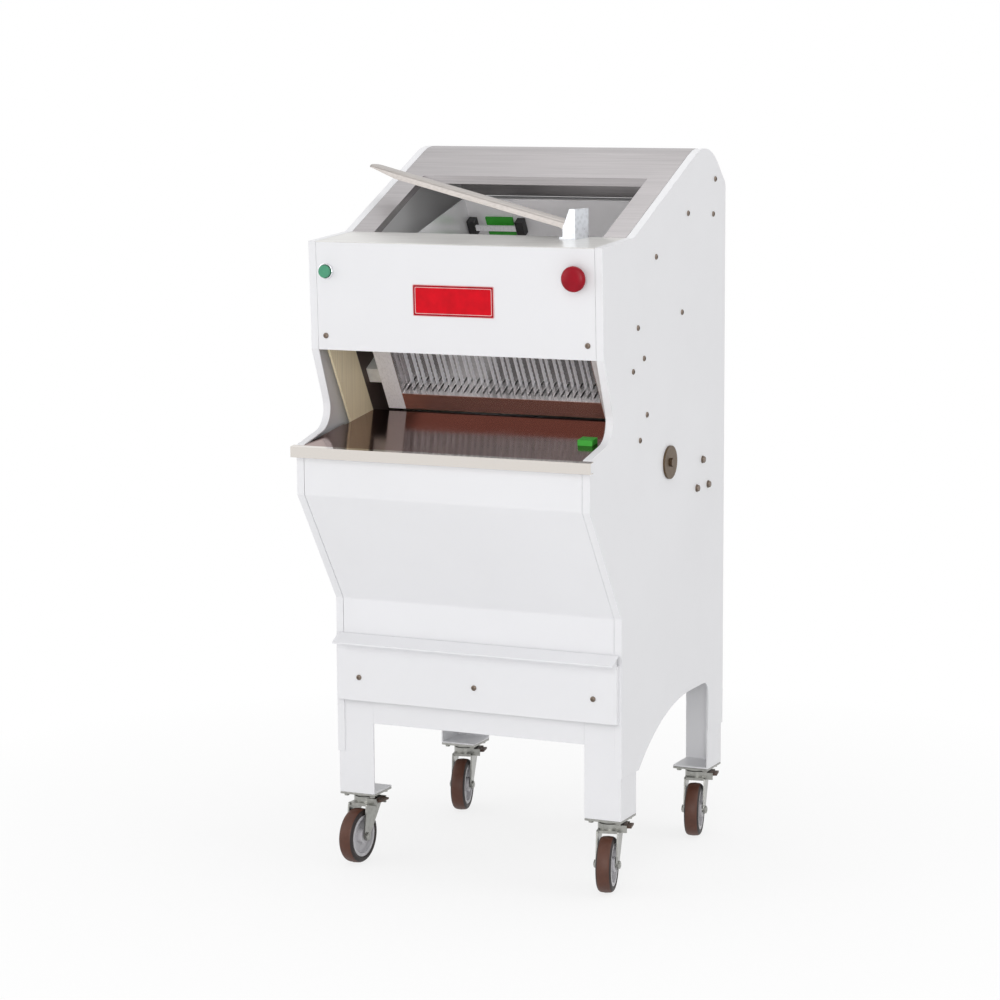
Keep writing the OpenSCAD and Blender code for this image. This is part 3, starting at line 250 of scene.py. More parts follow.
def recolour(material, direction, start, fade, colour, metallic):
    """Other colour and share of metal beyond a distance along a direction, after a fade."""
    tree = material.node_tree
    bsdf = tree.nodes["Principled BSDF"]
    place = tree.nodes.new("ShaderNodeTexCoord")
    along = tree.nodes.new("ShaderNodeVectorMath")
    along.operation = "DOT_PRODUCT"
    along.inputs[1].default_value = direction
    tree.links.new(place.outputs["Object"], along.inputs[0])
    beyond = spread(tree, along.outputs["Value"], 0.0, 1.0, start, start + fade)
    colours = tree.nodes.new("ShaderNodeMix")
    colours.data_type = "RGBA"
    colours.inputs["B"].default_value = (*colour, 1.0)
    metal = tree.nodes.new("ShaderNodeMix")
    metal.inputs["A"].default_value = bsdf.inputs["Metallic"].default_value
    metal.inputs["B"].default_value = metallic
    for mix, socket in ((colours, "Base Color"), (metal, "Metallic")):
        tree.links.new(beyond, mix.inputs["Factor"])
        for link in bsdf.inputs[socket].links:
            tree.links.new(link.from_socket, mix.inputs["A"])
        tree.links.new(mix.outputs["Result"], bsdf.inputs[socket])


# Grain of the materials: noise scales are repeats in a metre, details are octaves
FINE_DETAIL = 2.0
PLAIN_DETAIL = 3.0
GLOSS_DETAIL = 4.0
CLOUD_DETAIL = 5.0
GRAIN_DETAIL = 6.0
RELIEF_DEPTH = 0.0002
GLOSS_LESS = 0.07
GLOSS_MORE = 0.09
PAINT_ROUGHNESS = 0.36
PAINT_COAT = 0.1
PAINT_COAT_ROUGHNESS = 0.2
PAINT_CLOUDS = 4.0
PAINT_GLOSS = 22.0
PAINT_PEEL = 700.0
PAINT_RELIEF = 0.1
PAINT_STOPS = ((0.3, 0.97), (0.7, 1.0))
RUB_RADIUS = 0.002
RUB_PATCHES = 30.0
RUB_SAMPLES = 4
RUB_EDGE = (0.8, 0.99)
RUB_BREAK = (0.45, 0.7)
SHEET_SMEAR = 9.0
SHEET_SWIRL = 0.6
SHEET_RELIEF = 0.11
SHEET_STOPS = ((0.25, 0.84), (0.55, 1.0), (0.8, 1.08))
GRAIN_X = (6.0, 420.0, 420.0)
GRAIN_Z = (420.0, 420.0, 6.0)
PLATE_CELLS = 130.0
PLATE_GLOSS = 60.0
PLATE_PITS = 240.0
PLATE_RELIEF = 0.12
PLATE_STOPS = ((0.0, 0.85), (0.6, 1.08))
MOULD_CLOUDS = 55.0
MOULD_GLOSS = 140.0
MOULD_GRAIN = 1500.0
MOULD_RELIEF = 0.15
MOULD_STOPS = ((0.3, 0.86), (0.7, 1.06))


def rubbed_edges(tree):
    """1 on the edges of a piece, 0 on its flat faces, broken up by noise."""
    rounded = tree.nodes.new("ShaderNodeBevel")
    rounded.samples = RUB_SAMPLES
    rounded.inputs["Radius"].default_value = RUB_RADIUS
    geometry = tree.nodes.new("ShaderNodeNewGeometry")
    match = tree.nodes.new("ShaderNodeVectorMath")
    match.operation = "DOT_PRODUCT"
    tree.links.new(rounded.outputs["Normal"], match.inputs[0])
    tree.links.new(geometry.outputs["Normal"], match.inputs[1])
    edge = spread(tree, match.outputs["Value"], 1.0, 0.0, *RUB_EDGE)
    patches = spread(tree, noise(tree, RUB_PATCHES, CLOUD_DETAIL), 0.0, 1.0, *RUB_BREAK)
    return link_math(tree, "MULTIPLY", edge, patches)


def paint(name, colour, roughness=PAINT_ROUGHNESS, worn=None):
    """Powder coat: fine orange peel, uneven gloss, faint clouds and slightly rubbed edges."""
    coat = {"Coat_Weight": PAINT_COAT, "Coat_Roughness": PAINT_COAT_ROUGHNESS}
    material, tree, bsdf = shader(name, colour, roughness, **coat)
    clouds = shades(tree, noise(tree, PAINT_CLOUDS, CLOUD_DETAIL), colour, PAINT_STOPS)
    if worn:
        mix = tree.nodes.new("ShaderNodeMix")
        mix.data_type = "RGBA"
        mix.inputs["B"].default_value = (*worn, 1.0)
        tree.links.new(rubbed_edges(tree), mix.inputs["Factor"])
        tree.links.new(clouds, mix.inputs["A"])
        clouds = mix.outputs["Result"]
    tree.links.new(clouds, bsdf.inputs["Base Color"])
    uneven_gloss(tree, bsdf, noise(tree, PAINT_GLOSS, GLOSS_DETAIL))
    bump(tree, bsdf, noise(tree, PAINT_PEEL, FINE_DETAIL), PAINT_RELIEF)
    return material


def brushed(name, colour, roughness, grain=GRAIN_X, metallic=1.0):
    """Sheet metal with a grain along one axis and cloudy smears."""
    material, tree, bsdf = shader(name, colour, roughness, metallic)
    lines = noise(tree, 1.0, GRAIN_DETAIL, grain)
    tree.links.new(shades(tree, lines, colour, SHEET_STOPS), bsdf.inputs["Base Color"])
    uneven_gloss(tree, bsdf, noise(tree, SHEET_SMEAR, GLOSS_DETAIL, distortion=SHEET_SWIRL))
    bump(tree, bsdf, lines, SHEET_RELIEF)
    return material


def plated(name, colour, roughness):
    """Zinc plate or bare steel: crystalline patches of slightly different grey."""
    material, tree, bsdf = shader(name, colour, roughness, 1.0)
    cells = tree.nodes.new("ShaderNodeTexVoronoi")
    cells.inputs["Scale"].default_value = PLATE_CELLS
    tree.links.new(coordinates(tree, (1.0, 1.0, 1.0)), cells.inputs["Vector"])
    tree.links.new(shades(tree, cells.outputs["Distance"], colour, PLATE_STOPS), bsdf.inputs["Base Color"])
    uneven_gloss(tree, bsdf, noise(tree, PLATE_GLOSS, PLAIN_DETAIL))
    bump(tree, bsdf, noise(tree, PLATE_PITS, PLAIN_DETAIL), PLATE_RELIEF)
    return material


def moulded(name, colour, roughness, relief=MOULD_RELIEF, **sockets):
    """Moulded plastic or rubber with a fine grain and uneven gloss."""
    material, tree, bsdf = shader(name, colour, roughness, **sockets)
    clouds = shades(tree, noise(tree, MOULD_CLOUDS, GLOSS_DETAIL), colour, MOULD_STOPS)
    tree.links.new(clouds, bsdf.inputs["Base Color"])
    uneven_gloss(tree, bsdf, noise(tree, MOULD_GLOSS, PLAIN_DETAIL))
    bump(tree, bsdf, noise(tree, MOULD_GRAIN, FINE_DETAIL), relief)
    return material


# Materials
PAINT = paint("off_white_paint", (0.82, 0.82, 0.84), worn=(0.62, 0.62, 0.64))
MOTOR_GREY = paint("motor_grey", (0.13, 0.14, 0.16), 0.5)
STAINLESS = brushed("brushed_stainless", (0.56, 0.54, 0.53), 0.3)
HOPPER_STEEL = brushed("hopper_stainless", (0.41, 0.39, 0.395), 0.34)
SHELF_STEEL = brushed("polished_shelf", (0.72, 0.71, 0.69), 0.3, metallic=0.5)
# painted reflections: the polished tray is dark brown for the dark inside it mirrors, and its front lip is
# turned pale below for the light it catches
TRAY_PAINTED_REFLECTIONS = brushed("polished_tray_painted_reflections", (0.26, 0.155, 0.135), 0.1)
ARM_STEEL = brushed("arm_stainless", (0.42, 0.39, 0.37), 0.38)
# partly painted light: the walls' cream tone is raised near full brightness to light the dim cavity;
# below, they are painted near-black deep inside as shade and pale grey in the hopper as light
WALL_PAINTED_LIGHT_AND_SHADE = brushed("satin_wall_painted_light_and_shade", (0.97, 0.86, 0.6), 0.5, GRAIN_Z, 0.0)
# painted light and shade: below, the chute turns near-white at its top where light falls in through the
# mouth, and brown at its foot as a painted dark reflection
CHUTE_PAINTED_LIGHT_AND_SHADE = brushed("chute_stainless_painted_light_and_shade", (0.8, 0.77, 0.77), 0.12, metallic=0.8)
PALE_STEEL = brushed("pale_satin_steel", (0.95, 0.95, 0.97), 0.3, GRAIN_Z, 0.05)
DRAWER_STEEL = brushed("drawer_steel", (0.6, 0.6, 0.59), 0.4)
BLADE = brushed("blade_steel", (0.95, 0.95, 0.98), 0.3, GRAIN_Z, 0.1)
ZINC = plated("zinc_plate", (0.58, 0.6, 0.63), 0.3)
CASTER_ZINC = plated("caster_zinc", (0.33, 0.33, 0.31), 0.3)
CHROME = plated("chrome", (0.78, 0.78, 0.8), 0.14)
SCREW_STEEL = plated("screw_steel", (0.2, 0.16, 0.13), 0.38)
CAP_STEEL = plated("oiled_steel", (0.13, 0.092, 0.06), 0.36)
IRON = plated("turned_iron", (0.25, 0.25, 0.26), 0.42)
RED_FIELD = moulded("red_enamel", (0.66, 0.002, 0.012), 0.36, 0.05, Specular_IOR_Level=0.15)
RED_BAND = moulded("red_band", (0.4, 0.003, 0.012), 0.36, 0.05, Specular_IOR_Level=0.15)
PALE_LINE = moulded("pale_line", (0.75, 0.45, 0.46), 0.4, 0.05)
STOP_RED = moulded("stop_red", (0.3, 0.002, 0.012), 0.3, 0.05, Specular_IOR_Level=0.2)
START_GREEN = moulded("start_green", (0.09, 0.33, 0.2), 0.36, 0.05, Specular_IOR_Level=0.15)
PAD_GREEN = moulded("pad_green", (0.045, 0.42, 0.035), 0.55)
BLACK = moulded("black_plastic", (0.02, 0.02, 0.021), 0.45)
WHITE_PLASTIC = moulded("guide_plastic", (0.78, 0.78, 0.73), 0.5)
BELT = moulded("belt_rubber", (0.012, 0.012, 0.012), 0.7)
WHEEL_GREY = moulded("wheel_grey", (0.56, 0.55, 0.57), 0.42)
TYRE_BROWN = moulded("tyre_brown", (0.085, 0.026, 0.012), 0.5, 0.3)
# painted shade: the tyres' side walls are near-black for the shadow between tread and hub
TYRE_SIDE_PAINTED_SHADE = moulded("tyre_side_painted_shade", (0.018, 0.011, 0.01), 0.55, 0.2)
BRAKE_BROWN = moulded("brake_brown", (0.07, 0.035, 0.022), 0.5)

# Places along a direction where painted light and painted shade on the sheets begin
SIDEWAYS = (1.0, 0.0, 0.0)
FORWARDS = (0.0, -1.0, 0.0)
UPWARDS = (0.0, 0.0, 1.0)
DOWNWARDS = (0.0, 0.0, -1.0)
INWARDS = Vector(joints["front_frame_stroke"]["axis"]).cross(SIDEWAYS)
TRAY_LIP = 0.317
CHUTE_TOP = 0.96
CHUTE_FOOT = 0.856
WALL_TOP = 0.985
WALL_DEEP = 0.357
PAINTED_ZONE_EDGE = 0.002
HOPPER_FADE = 0.08

# Painted light and shade as material, direction, start, fade, colour and share of metal
PAINTED_ZONES = (
    # painted reflections: the tray stays dark brown, and only its front lip is pale steel
    (TRAY_PAINTED_REFLECTIONS, FORWARDS, TRAY_LIP, PAINTED_ZONE_EDGE, (0.72, 0.68, 0.64), 1.0),
    # painted light: the chute's upper part is near-white where light falls in through the mouth
    (CHUTE_PAINTED_LIGHT_AND_SHADE, UPWARDS, CHUTE_TOP, HOPPER_FADE, (0.92, 0.92, 0.93), 0.1),
    # painted dark reflection: the chute's foot below the blades is brown
    (CHUTE_PAINTED_LIGHT_AND_SHADE, DOWNWARDS, -CHUTE_FOOT, PAINTED_ZONE_EDGE, (0.8, 0.42, 0.34), 0.8),
    # painted shade: the inner walls are near-black deep inside, behind the flanges, where the gap lies in
    # shadow
    (WALL_PAINTED_LIGHT_AND_SHADE, INWARDS, WALL_DEEP, PAINTED_ZONE_EDGE, (0.1, 0.07, 0.06), 0.2),
    # painted light: the inner walls are pale grey up in the hopper, where light falls in
    (WALL_PAINTED_LIGHT_AND_SHADE, UPWARDS, WALL_TOP, PAINTED_ZONE_EDGE, (0.88, 0.88, 0.88), 0.1),
)
for painted_zone in PAINTED_ZONES:
    recolour(*painted_zone)

NODE_MATERIALS = {
    "left_panel": PAINT, "right_panel": PAINT, "leg_posts": PAINT, "base_rails": PAINT, "fascia": PAINT,
    "lower_front_cover": PAINT, "rear_cover": PAINT, "drawer_front": PAINT,
    "left_inner_plate": WALL_PAINTED_LIGHT_AND_SHADE, "right_inner_plate": WALL_PAINTED_LIGHT_AND_SHADE, "front_shelf": SHELF_STEEL,
    "hopper_surround": HOPPER_STEEL, "apex_cap": HOPPER_STEEL, "loaf_chute": CHUTE_PAINTED_LIGHT_AND_SHADE,
    "chute_trim": PALE_STEEL, "discharge_tray": TRAY_PAINTED_REFLECTIONS, "front_blade_frame": STAINLESS,
    "rear_blade_frame": STAINLESS, "hold_down_arm": ARM_STEEL, "crumb_drawer": DRAWER_STEEL,
    "front_blades": BLADE, "rear_blades": BLADE, "panel_spacers": ZINC, "drawer_runners": ZINC,
    "arm_bracket": ZINC, "button_bezels": CHROME, "caster_plates": CASTER_ZINC, "front_rods": ZINC,
    "rear_rods": ZINC, "crankshaft": ZINC, "panel_screws": SCREW_STEEL, "drawer_screws": SCREW_STEEL,
    "crank_bearings": CAP_STEEL, "crank_pulley": IRON, "motor_pulley": IRON, "motor": MOTOR_GREY,
    "drive_belt": BELT, "nameplate": RED_FIELD, "stop_pads": PAD_GREEN, "cord_gland": BLACK,
    "switch_blocks": BLACK, "guide_blocks": WHITE_PLASTIC, "start_button": START_GREEN,
    "stop_button": STOP_RED,
}
CASTERS = ("front_left", "front_right", "rear_left", "rear_right")
CASTER_MATERIALS = {"fork": CASTER_ZINC, "wheel": WHEEL_GREY, "tyre": TYRE_BROWN, "brake": BRAKE_BROWN}
for caster in CASTERS:
    for piece, material in CASTER_MATERIALS.items():
        NODE_MATERIALS[f"{caster}_{piece}"] = material

# Flat sheets with small holes, whose triangles are joined before their edges are rounded
PIERCED_SHEETS = ("fascia", "drawer_front", "rear_cover")


def dress(node, material):
    """Material of a CAD node, and a small round on its sharp edges."""
    piece = nodes[node]
    piece.data.materials.clear()
    piece.data.materials.append(material)
    weld = piece.modifiers.new("weld", "WELD")
    weld.merge_threshold = WELD_DISTANCE
    if node in PIERCED_SHEETS:
        flat = piece.modifiers.new("flat", "DECIMATE")
        flat.decimate_type = "DISSOLVE"
        flat.angle_limit = FLAT_ANGLE
    bevel = piece.modifiers.new("bevel", "BEVEL")
    bevel.width = EDGE_ROUND
    bevel.segments = EDGE_SEGMENTS
    bevel.limit_method = "ANGLE"
    bevel.angle_limit = EDGE_ANGLE
    bevel.harden_normals = True
    piece.modifiers.new("normals", "WEIGHTED_NORMAL").keep_sharp = True


# Mesh helpers
def axes(place, z_axis, x_axis):
    """Matrix with its origin at place, its Z axis along z_axis and its X axis near x_axis."""
    z = Vector(z_axis).normalized()
    y = z.cross(Vector(x_axis)).normalized()
    return Matrix.Translation(place) @ Matrix((y.cross(z), y, z)).transposed().to_4x4()


def corners(points):
    """Lowest and highest corner of a list of points."""
    low = Vector([min(p[i] for p in points) for i in range(3)])
    high = Vector([max(p[i] for p in points) for i in range(3)])
    return low, high


def local_box(node, matrix):
    """Box of a CAD node in the axes of a matrix."""
    back = matrix.inverted()
    return corners([back @ vertex.co for vertex in nodes[node].data.vertices])


def islands(node, matrix=Matrix.Identity(4)):
    """Boxes of the separate solids of a CAD node, in the axes of a matrix."""
    bm = bmesh.new()
    bm.from_mesh(nodes[node].data)
    bmesh.ops.remove_doubles(bm, verts=bm.verts, dist=WELD_DISTANCE)
    bm.transform(matrix.inverted())
    left = set(bm.verts)
    boxes = []
    while left:
        group = [left.pop()]
        for vertex in group:
            near = {edge.other_vert(vertex) for edge in vertex.link_edges} & left
            left -= near
            group.extend(near)
        boxes.append(corners([vertex.co for vertex in group]))
    bm.free()
    return sorted(boxes, key=lambda box: [round(value, SORT_DIGITS) for value in box[0]])


def ring(bm, matrix, radius, height, sides=0):
    """Ring of vertices about the matrix's Z axis, round or with flat sides."""
    if radius == 0.0:
        return [bm.verts.new(matrix @ Vector((0.0, 0.0, height)))]
    vertices = []
    for step in range(TURN_STEPS):
        angle = 2.0 * math.pi * step / TURN_STEPS
        reach = radius
        if sides:
            half = math.pi / sides
            reach *= math.cos(half) / math.cos(angle % (2.0 * half) - half)
        spot = (reach * math.cos(angle), reach * math.sin(angle), height)
        vertices.append(bm.verts.new(matrix @ Vector(spot)))
    return vertices


def skin(bm, rings, materials=None):
    """Faces between neighbouring rings of vertices."""
    for row, (low, high) in enumerate(zip(rings, rings[1:])):
        for i in range(max(len(low), len(high))):
            j = i + 1
            loop = (low[i % len(low)], low[j % len(low)], high[j % len(high)], high[i % len(high)])
            face = bm.faces.new(list(dict.fromkeys(loop)))
            face.material_index = materials[row] if materials else 0


def turned(bm, matrix, profile, materials=None):
    """Solid turned about the matrix's Z axis from rows of radius, height and, where flat, sides."""
    skin(bm, [ring(bm, matrix, *row) for row in profile], materials)


def sized(shares, radius, height):
    """Profile from rows of shares of a radius and a height."""
    return [(row[0] * radius, row[1] * height, *row[2:]) for row in shares]


def rounded_box(half_x, half_y, radius):
    """Outline of a rectangle with round corners."""
    points = []
    for quarter, (x, y) in enumerate(((1, 1), (-1, 1), (-1, -1), (1, -1))):
        for step in range(CORNER_STEPS + 1):
            angle = math.pi / 2.0 * (quarter + step / CORNER_STEPS)
            points.append((x * (half_x - radius) + radius * math.cos(angle),
                           y * (half_y - radius) + radius * math.sin(angle)))
    return points


def loop_at(bm, matrix, outline, height):
    """Vertices of an outline at a height over the matrix's XY plane."""
    return [bm.verts.new(matrix @ Vector((x, y, height))) for x, y in outline]


def prism(bm, matrix, outline, low, high, material=0):
    """Outline drawn out along the matrix's Z axis."""
    loops = [loop_at(bm, matrix, outline, height) for height in (low, high)]
    skin(bm, loops, [material])
    for loop in loops:
        bm.faces.new(loop).material_index = material


def add_piece(name, bm, materials, body, slot, *replaced):
    """Object from a mesh, which rides on a body and may stand for CAD nodes."""
    bmesh.ops.remove_doubles(bm, verts=bm.verts, dist=MEET_DISTANCE)
    bmesh.ops.recalc_face_normals(bm, faces=bm.faces)
    mesh = bpy.data.meshes.new(name)
    bm.to_mesh(mesh)
    bm.free()
    for material in materials:
        mesh.materials.append(material)
    mesh.shade_smooth()
    mesh.set_sharp_from_angle(angle=SMOOTH_ANGLE)
    piece = bpy.data.objects.new(name, mesh)
    scene.collection.objects.link(piece)
    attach(piece, body)
    if replaced:
        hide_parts(*replaced)


# Frames of the CAD: the blades' own axes, and a place on the leaning fascia
CRANK = Vector(joints["crank_turn"]["pos_m"])
BLADES = axes((0.0, CRANK.y, CRANK.z), joints["front_frame_stroke"]["axis"], (1.0, 0.0, 0.0))
FASCIA_OUT = -Vector(joints["stop_press"]["axis"])


def on_fascia(node):
    """Axes at the middle of a node on the fascia, with Z pointing out."""
    low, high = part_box(node)
    near = axes((low + high) / 2.0, FASCIA_OUT, (1.0, 0.0, 0.0))
    low, high = local_box(node, near)
    return near @ Matrix.Translation((low + high) / 2.0)


# Blades
TOOTH_PITCH = 0.010
TOOTH_DEPTH = 0.0017
TOOTH_STEPS = 4
GROUND_WIDTH = 0.0038


def scalloped_blades(name, node, body):
    """Thin blades with a ground, scalloped edge towards the loaf."""
    bm = bmesh.new()
    for low, high in islands(node, BLADES):
        middle = (low.x + high.x) / 2.0
        ground = high.y - GROUND_WIDTH
        count = TOOTH_STEPS * round((high.z - low.z) / TOOTH_PITCH)
        rows = []
        for step in range(count + 1):
            z = low.z + (high.z - low.z) * step / count
            tip = high.y - TOOTH_DEPTH * abs(math.sin(math.pi * step / TOOTH_STEPS))
            section = ((low.x, low.y), (low.x, ground), (middle, tip), (high.x, ground), (high.x, low.y))
            rows.append([bm.verts.new(BLADES @ Vector((x, y, z))) for x, y in section])
        skin(bm, rows)
        bm.faces.new(rows[0])
        bm.faces.new(rows[-1])
    add_piece(name, bm, [BLADE], body, "blade_steel", node)


# Screws: rows of radius and height shares, with the number of sides where flat
SIDE_X = 0.258
BOLT_RADIUS = 0.006
SCREW_HEAD_SHARE = 0.52
BOLT_HEAD_SHARE = 0.71
PAN_SHARES = ((0.0, 0.0), (1.0, 0.0), (1.0, 0.3), (0.95, 0.6), (0.8, 0.86), (0.62, 1.0), (0.52, 1.0, 6),
              (0.52, 0.45, 6), (0.0, 0.45))
BOLT_SHARES = ((0.0, 0.0), (1.0, 0.0), (1.0, 0.25), (0.92, 0.3), (0.86, 0.3, 6), (0.86, 0.88, 6),
               (0.74, 1.0), (0.0, 1.0))


def screw_heads(name, node, body):
    """Pan heads with a hexagon socket, and hexagon bolts with washers where the heads are large."""
    bm = bmesh.new()
    for low, high in islands(node):
        middle = (low + high) / 2.0
        across = (high - low) / 2.0
        along = 0 if abs(middle.x) > SIDE_X else 1
        out = Vector((0.0, 0.0, 0.0))
        out[along] = math.copysign(1.0, middle[along])
        radius = across.z
        large = radius > BOLT_RADIUS
        height = radius * (BOLT_HEAD_SHARE if large else SCREW_HEAD_SHARE)
        foot = middle + out * (across[along] - height)
        profile = sized(BOLT_SHARES if large else PAN_SHARES, radius, height)
        turned(bm, axes(foot, out, (0.0, 0.0, 1.0)), profile)
    add_piece(name, bm, [SCREW_STEEL], body, "zinc", node)


# Push buttons
STEM_RADIUS = 0.0048
NECK_RADIUS = 0.008
NECK_DEPTH = 0.015
MUSHROOM_HEIGHT = 0.011
MUSHROOM_RIM = 0.004
DOME_STEPS = 10
CAP_DEPTH = 0.005
CAP_ROUND = 0.0014
CAP_DISH = 0.0007
ROUND_SHARE = 0.3
DISH_SHARES = ((0.8, 0.0), (0.6, -0.6), (0.0, -1.0))


def stop_button():
    """Red mushroom head on its neck and stem."""
    matrix = on_fascia("stop_button")
    low, high = local_box("stop_button", matrix)
    radius, top = high.x, high.z
    neck = top - NECK_DEPTH
    under = top - MUSHROOM_HEIGHT
    dome = MUSHROOM_HEIGHT - MUSHROOM_RIM
    profile = [(0.0, low.z), (STEM_RADIUS, low.z), (STEM_RADIUS, neck), (NECK_RADIUS, neck),
               (NECK_RADIUS, under), (radius - CAP_ROUND, under), (radius, under + CAP_ROUND)]
    for step in range(DOME_STEPS + 1):
        angle = math.pi / 2.0 * step / DOME_STEPS
        reach = 0.0 if step == DOME_STEPS else radius * math.cos(angle)
        profile.append((reach, top - dome * (1.0 - math.sin(angle))))
    bm = bmesh.new()
    turned(bm, matrix, profile)
    add_piece("stop_head", bm, [STOP_RED], "stop", "stop_red", "stop_button")


def start_button():
    """Green cap with a round rim and a shallow dish, on its stem."""
    matrix = on_fascia("start_button")
    low, high = local_box("start_button", matrix)
    radius, top = high.x, high.z
    under = top - CAP_DEPTH
    bend = CAP_ROUND * ROUND_SHARE
    profile = [(0.0, low.z), (STEM_RADIUS, low.z), (STEM_RADIUS, under), (radius, under),
               (radius, top - CAP_ROUND), (radius - bend, top - bend), (radius - CAP_ROUND, top)]
    profile += [(reach, top + sink) for reach, sink in sized(DISH_SHARES, radius, CAP_DISH)]
    bm = bmesh.new()
    turned(bm, matrix, profile)
    add_piece("start_cap", bm, [START_GREEN], "start", "start_green", "start_button")


# Blank plate
PLATE_ROUND = 0.002
PLATE_LINE = 0.0011
PLATE_BAND = 0.0042
PLATE_STEP = 0.0005
FIELD, BAND, LINE = range(3)


def nameplate():
    """Blank red plate: pale rim, dark band, pale line and plain field."""
    matrix = on_fascia("nameplate")
    low, high = local_box("nameplate", matrix)
    top, step = high.z, high.z - PLATE_STEP
    field = PLATE_BAND + PLATE_LINE
    sections = ((0.0, low.z), (0.0, top), (PLATE_LINE, top), (PLATE_LINE, step), (PLATE_BAND, step),
                (PLATE_BAND, top), (field, top), (field, step))
    bm = bmesh.new()
    loops = []
    for inset, height in sections:
        outline = rounded_box(high.x - inset, high.y - inset, PLATE_ROUND)
        loops.append(loop_at(bm, matrix, outline, height))
    skin(bm, loops, [LINE, LINE, LINE, BAND, LINE, LINE, LINE])
    bm.faces.new(loops[0]).material_index = BAND
    bm.faces.new(loops[-1]).material_index = FIELD
    add_piece("blank_plate", bm, [RED_FIELD, RED_BAND, PALE_LINE], "cabinet", "red_plate", "nameplate")


# Casters
RIM_INSET = 0.002
BULGE_SHARE = 0.25
SHOULDER = 0.007
CROWN_DROP = 0.0006
SHOULDER_STEPS = 5
# the second tyre material is the side walls' painted shade
TREAD, WALL = range(2)
FORK_HALF = 0.02
NUT_RADIUS = 0.0075
NUT_HEIGHT = 0.0045
NUT_SHARES = ((0.0, 0.0), (1.0, 0.0, 6), (1.0, 0.7, 6), (0.84, 0.8), (0.6, 0.8), (0.5, 1.0), (0.0, 1.1))
PLATE_THICK = 0.004
BOLT_INSET = 0.009
BOLT_HEAD_RADIUS = 0.0058
BOLT_HEAD_HEIGHT = 0.0042


def axle_axes(caster):
    """Axes on a caster's axle, with Z along it."""
    axle = joints[f"{caster}_wheel_roll"]
    return axes(axle["pos_m"], axle["axis"], (0.0, 0.0, 1.0))


def tyre(caster):
    """Brown tread with round shoulders, and side walls painted near-black as shade."""
    matrix = axle_axes(caster)
    tread = local_box(f"{caster}_tyre", matrix)[1]
    rim = local_box(f"{caster}_wheel", matrix)[1].x
    half, radius = tread.z, tread.x
    side = [(rim, half - RIM_INSET), ((rim + radius - SHOULDER) / 2.0, half - RIM_INSET * BULGE_SHARE)]
    kinds = [WALL, WALL]
    for step in range(SHOULDER_STEPS + 1):
        angle = math.pi / 2.0 * step / SHOULDER_STEPS
        side.append((radius - SHOULDER - CROWN_DROP + SHOULDER * math.sin(angle),
                     half - SHOULDER + SHOULDER * math.cos(angle)))
        kinds.append(WALL if step < SHOULDER_STEPS / 2 else TREAD)
    crown = [(radius, 0.0)]
    other = [(reach, -height) for reach, height in reversed(side)]
    profile = side + crown + other + side[:1]
    materials = kinds + list(reversed(kinds)) + [WALL]
    bm = bmesh.new()
    turned(bm, matrix, profile, materials)
    add_piece(f"{caster}_tread", bm, [TYRE_BROWN, TYRE_SIDE_PAINTED_SHADE], f"{caster}_roller", "tyre_brown",
              f"{caster}_tyre")


def axle_nuts(caster):
    """Hexagon nuts with a domed end on both ends of a caster's axle."""
    matrix = axle_axes(caster)
    bm = bmesh.new()
    for way in (1.0, -1.0):
        rows = sized(NUT_SHARES, NUT_RADIUS, NUT_HEIGHT)
        turned(bm, matrix, [(row[0], way * (FORK_HALF + row[1]), *row[2:]) for row in rows])
    add_piece(f"{caster}_axle_nuts", bm, [CASTER_ZINC], f"{caster}_swivel", "zinc")


def plate_bolts():
    """Four bolt heads under each caster plate."""
    profile = sized(BOLT_SHARES, BOLT_HEAD_RADIUS, BOLT_HEAD_HEIGHT)
    bm = bmesh.new()
    for low, high in islands("caster_plates"):
        under = high.z - PLATE_THICK
        for x in (low.x + BOLT_INSET, high.x - BOLT_INSET):
            for y in (low.y + BOLT_INSET, high.y - BOLT_INSET):
                turned(bm, axes((x, y, under), (0.0, 0.0, -1.0), (1.0, 0.0, 0.0)), profile)
    add_piece("caster_bolts", bm, [CASTER_ZINC], "cabinet", "zinc")


# Hold-down arm
ARM_REST = 10.7
ARM_THICK = 0.002
ARM_ROUND = 0.005
ARM_INNER_ROUND = 0.0005
ARM_ROUND_SHARE = 0.9
ARM_DEEP = 0.012
ARM_EYE_DEEP = 0.015
ARM_TAPER = 0.07
ARM_TIP_DEEP = 0.004
ARM_TIP_ROUND = 0.011
ARM_STEPS = 6


def arm_axes():
    """Axes on the arm's pin, with X along the arm at rest."""
    pin = joints["arm_lift"]
    axis = Vector(pin["axis"])
    turn = Matrix.Rotation(math.radians(ARM_REST), 4, "Y")
    return axes(pin["pos_m"], (0.0, 0.0, 1.0), axis.cross((0.0, 0.0, 1.0))) @ turn


def arm_section(half, top, deep):
    """Points across the arm: a channel open below, with round upper corners."""
    bend = min(ARM_ROUND, deep * ARM_ROUND_SHARE, half * ARM_ROUND_SHARE)
    skins = []
    for inset in (0.0, ARM_THICK):
        radius = max(bend - inset, ARM_INNER_ROUND)
        reach, height = half - inset, top - inset
        side = [(-reach, top - deep)]
        for step in range(ARM_STEPS + 1):
            angle = math.pi / 2.0 * step / ARM_STEPS
            side.append((-reach + radius - radius * math.cos(angle),
                         height - radius + radius * math.sin(angle)))
        skins.append(side + [(-y, z) for y, z in reversed(side)])
    outer, inner = skins
    return outer + inner[::-1]


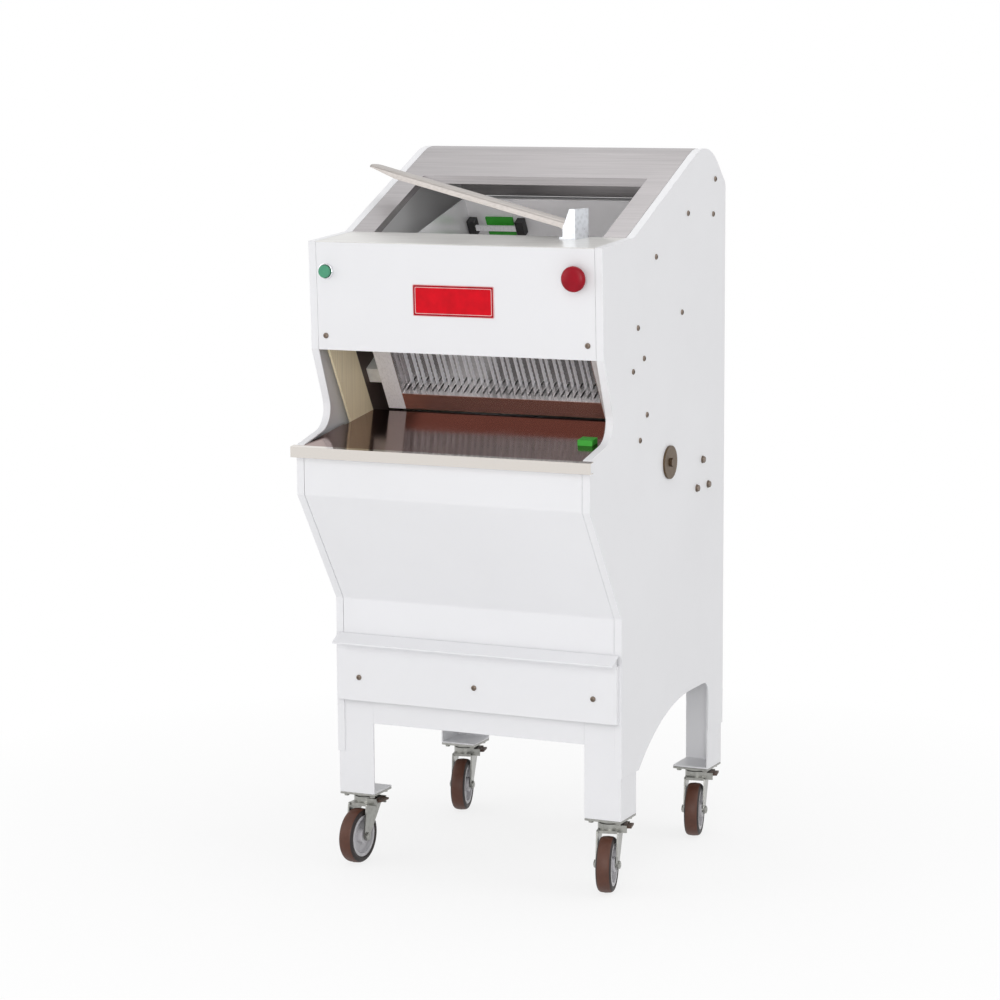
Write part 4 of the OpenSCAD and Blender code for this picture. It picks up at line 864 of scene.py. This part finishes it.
def hold_down_arm():
    """Folded channel whose sides run out towards a rounded tip."""
    matrix = arm_axes()
    low, high = local_box("hold_down_arm", matrix)
    stations = [(high.x, high.y, ARM_DEEP), (high.x - ARM_ROUND, high.y, ARM_EYE_DEEP),
                (-high.x, high.y, ARM_EYE_DEEP), (-2.0 * high.x, high.y, ARM_DEEP),
                (low.x + ARM_TAPER, high.y, ARM_DEEP), (low.x + ARM_TIP_ROUND, high.y, ARM_TIP_DEEP)]
    for step in range(1, ARM_STEPS):
        angle = math.pi / 2.0 * step / ARM_STEPS
        stations.append((low.x + ARM_TIP_ROUND * (1.0 - math.sin(angle)),
                         high.y - ARM_TIP_ROUND * (1.0 - math.cos(angle)), ARM_TIP_DEEP))
    bm = bmesh.new()
    rows = []
    for x, half, deep in stations:
        rows.append([bm.verts.new(matrix @ Vector((x, y, z))) for y, z in arm_section(half, high.z, deep)])
    skin(bm, rows)
    bm.faces.new(rows[0])
    bm.faces.new(rows[-1])
    add_piece("arm_channel", bm, [ARM_STEEL], "arm", "stainless", "hold_down_arm")


# Trim of the chute
CHEEK_ROUND = 0.0006
CHEEK_LONG = 0.064
STAY_FOOT = 0.016
STAY_HIGH = 0.011
STAY_THICK = 0.004
STAY_ROUND = 0.0015
PALE, DARK = range(2)


def block(bm, low, high, radius, material):
    """Block between two corners in the blades' axes, with round edges along them."""
    middle = (low + high) / 2.0
    half = (high - low) / 2.0
    matrix = BLADES @ Matrix.Translation((middle.x, middle.y, 0.0))
    prism(bm, matrix, rounded_box(half.x, half.y, radius), low.z, high.z, material)


def chute_trim():
    """Pale flanges beside the discharge, and a bright bar on two dark feet."""
    bm = bmesh.new()
    for low, high in islands("chute_trim", BLADES):
        if high.z - low.z > CHEEK_LONG:
            block(bm, low, high, CHEEK_ROUND, PALE)
            continue
        middle = (low.z + high.z) / 2.0
        front = low.y + STAY_THICK / 2.0
        bar_low = Vector((low.x + STAY_FOOT / 2.0, front, middle - STAY_HIGH / 2.0))
        bar_high = Vector((high.x - STAY_FOOT / 2.0, front + STAY_THICK, middle + STAY_HIGH / 2.0))
        block(bm, bar_low, bar_high, STAY_ROUND, PALE)
        for x in (low.x, high.x - STAY_FOOT):
            foot_low = Vector((x, low.y, low.z))
            foot_high = Vector((x + STAY_FOOT, high.y, high.z))
            block(bm, foot_low, foot_high, STAY_ROUND, DARK)
    add_piece("chute_fittings", bm, [PALE_STEEL, BLACK], "cabinet", "stainless", "chute_trim")


for node, material in NODE_MATERIALS.items():
    dress(node, material)
scalloped_blades("front_blade_set", "front_blades", "front_frame")
scalloped_blades("rear_blade_set", "rear_blades", "rear_frame")
screw_heads("panel_screw_heads", "panel_screws", "cabinet")
screw_heads("drawer_screw_heads", "drawer_screws", "drawer")
stop_button()
start_button()
nameplate()
for caster in CASTERS:
    tyre(caster)
    axle_nuts(caster)
plate_bolts()
hold_down_arm()
chute_trim()

add_camera()
add_world()
add_floor()
for soft_box in SOFT_BOXES:
    add_light(*soft_box)
scene.view_settings.view_transform = "Standard"
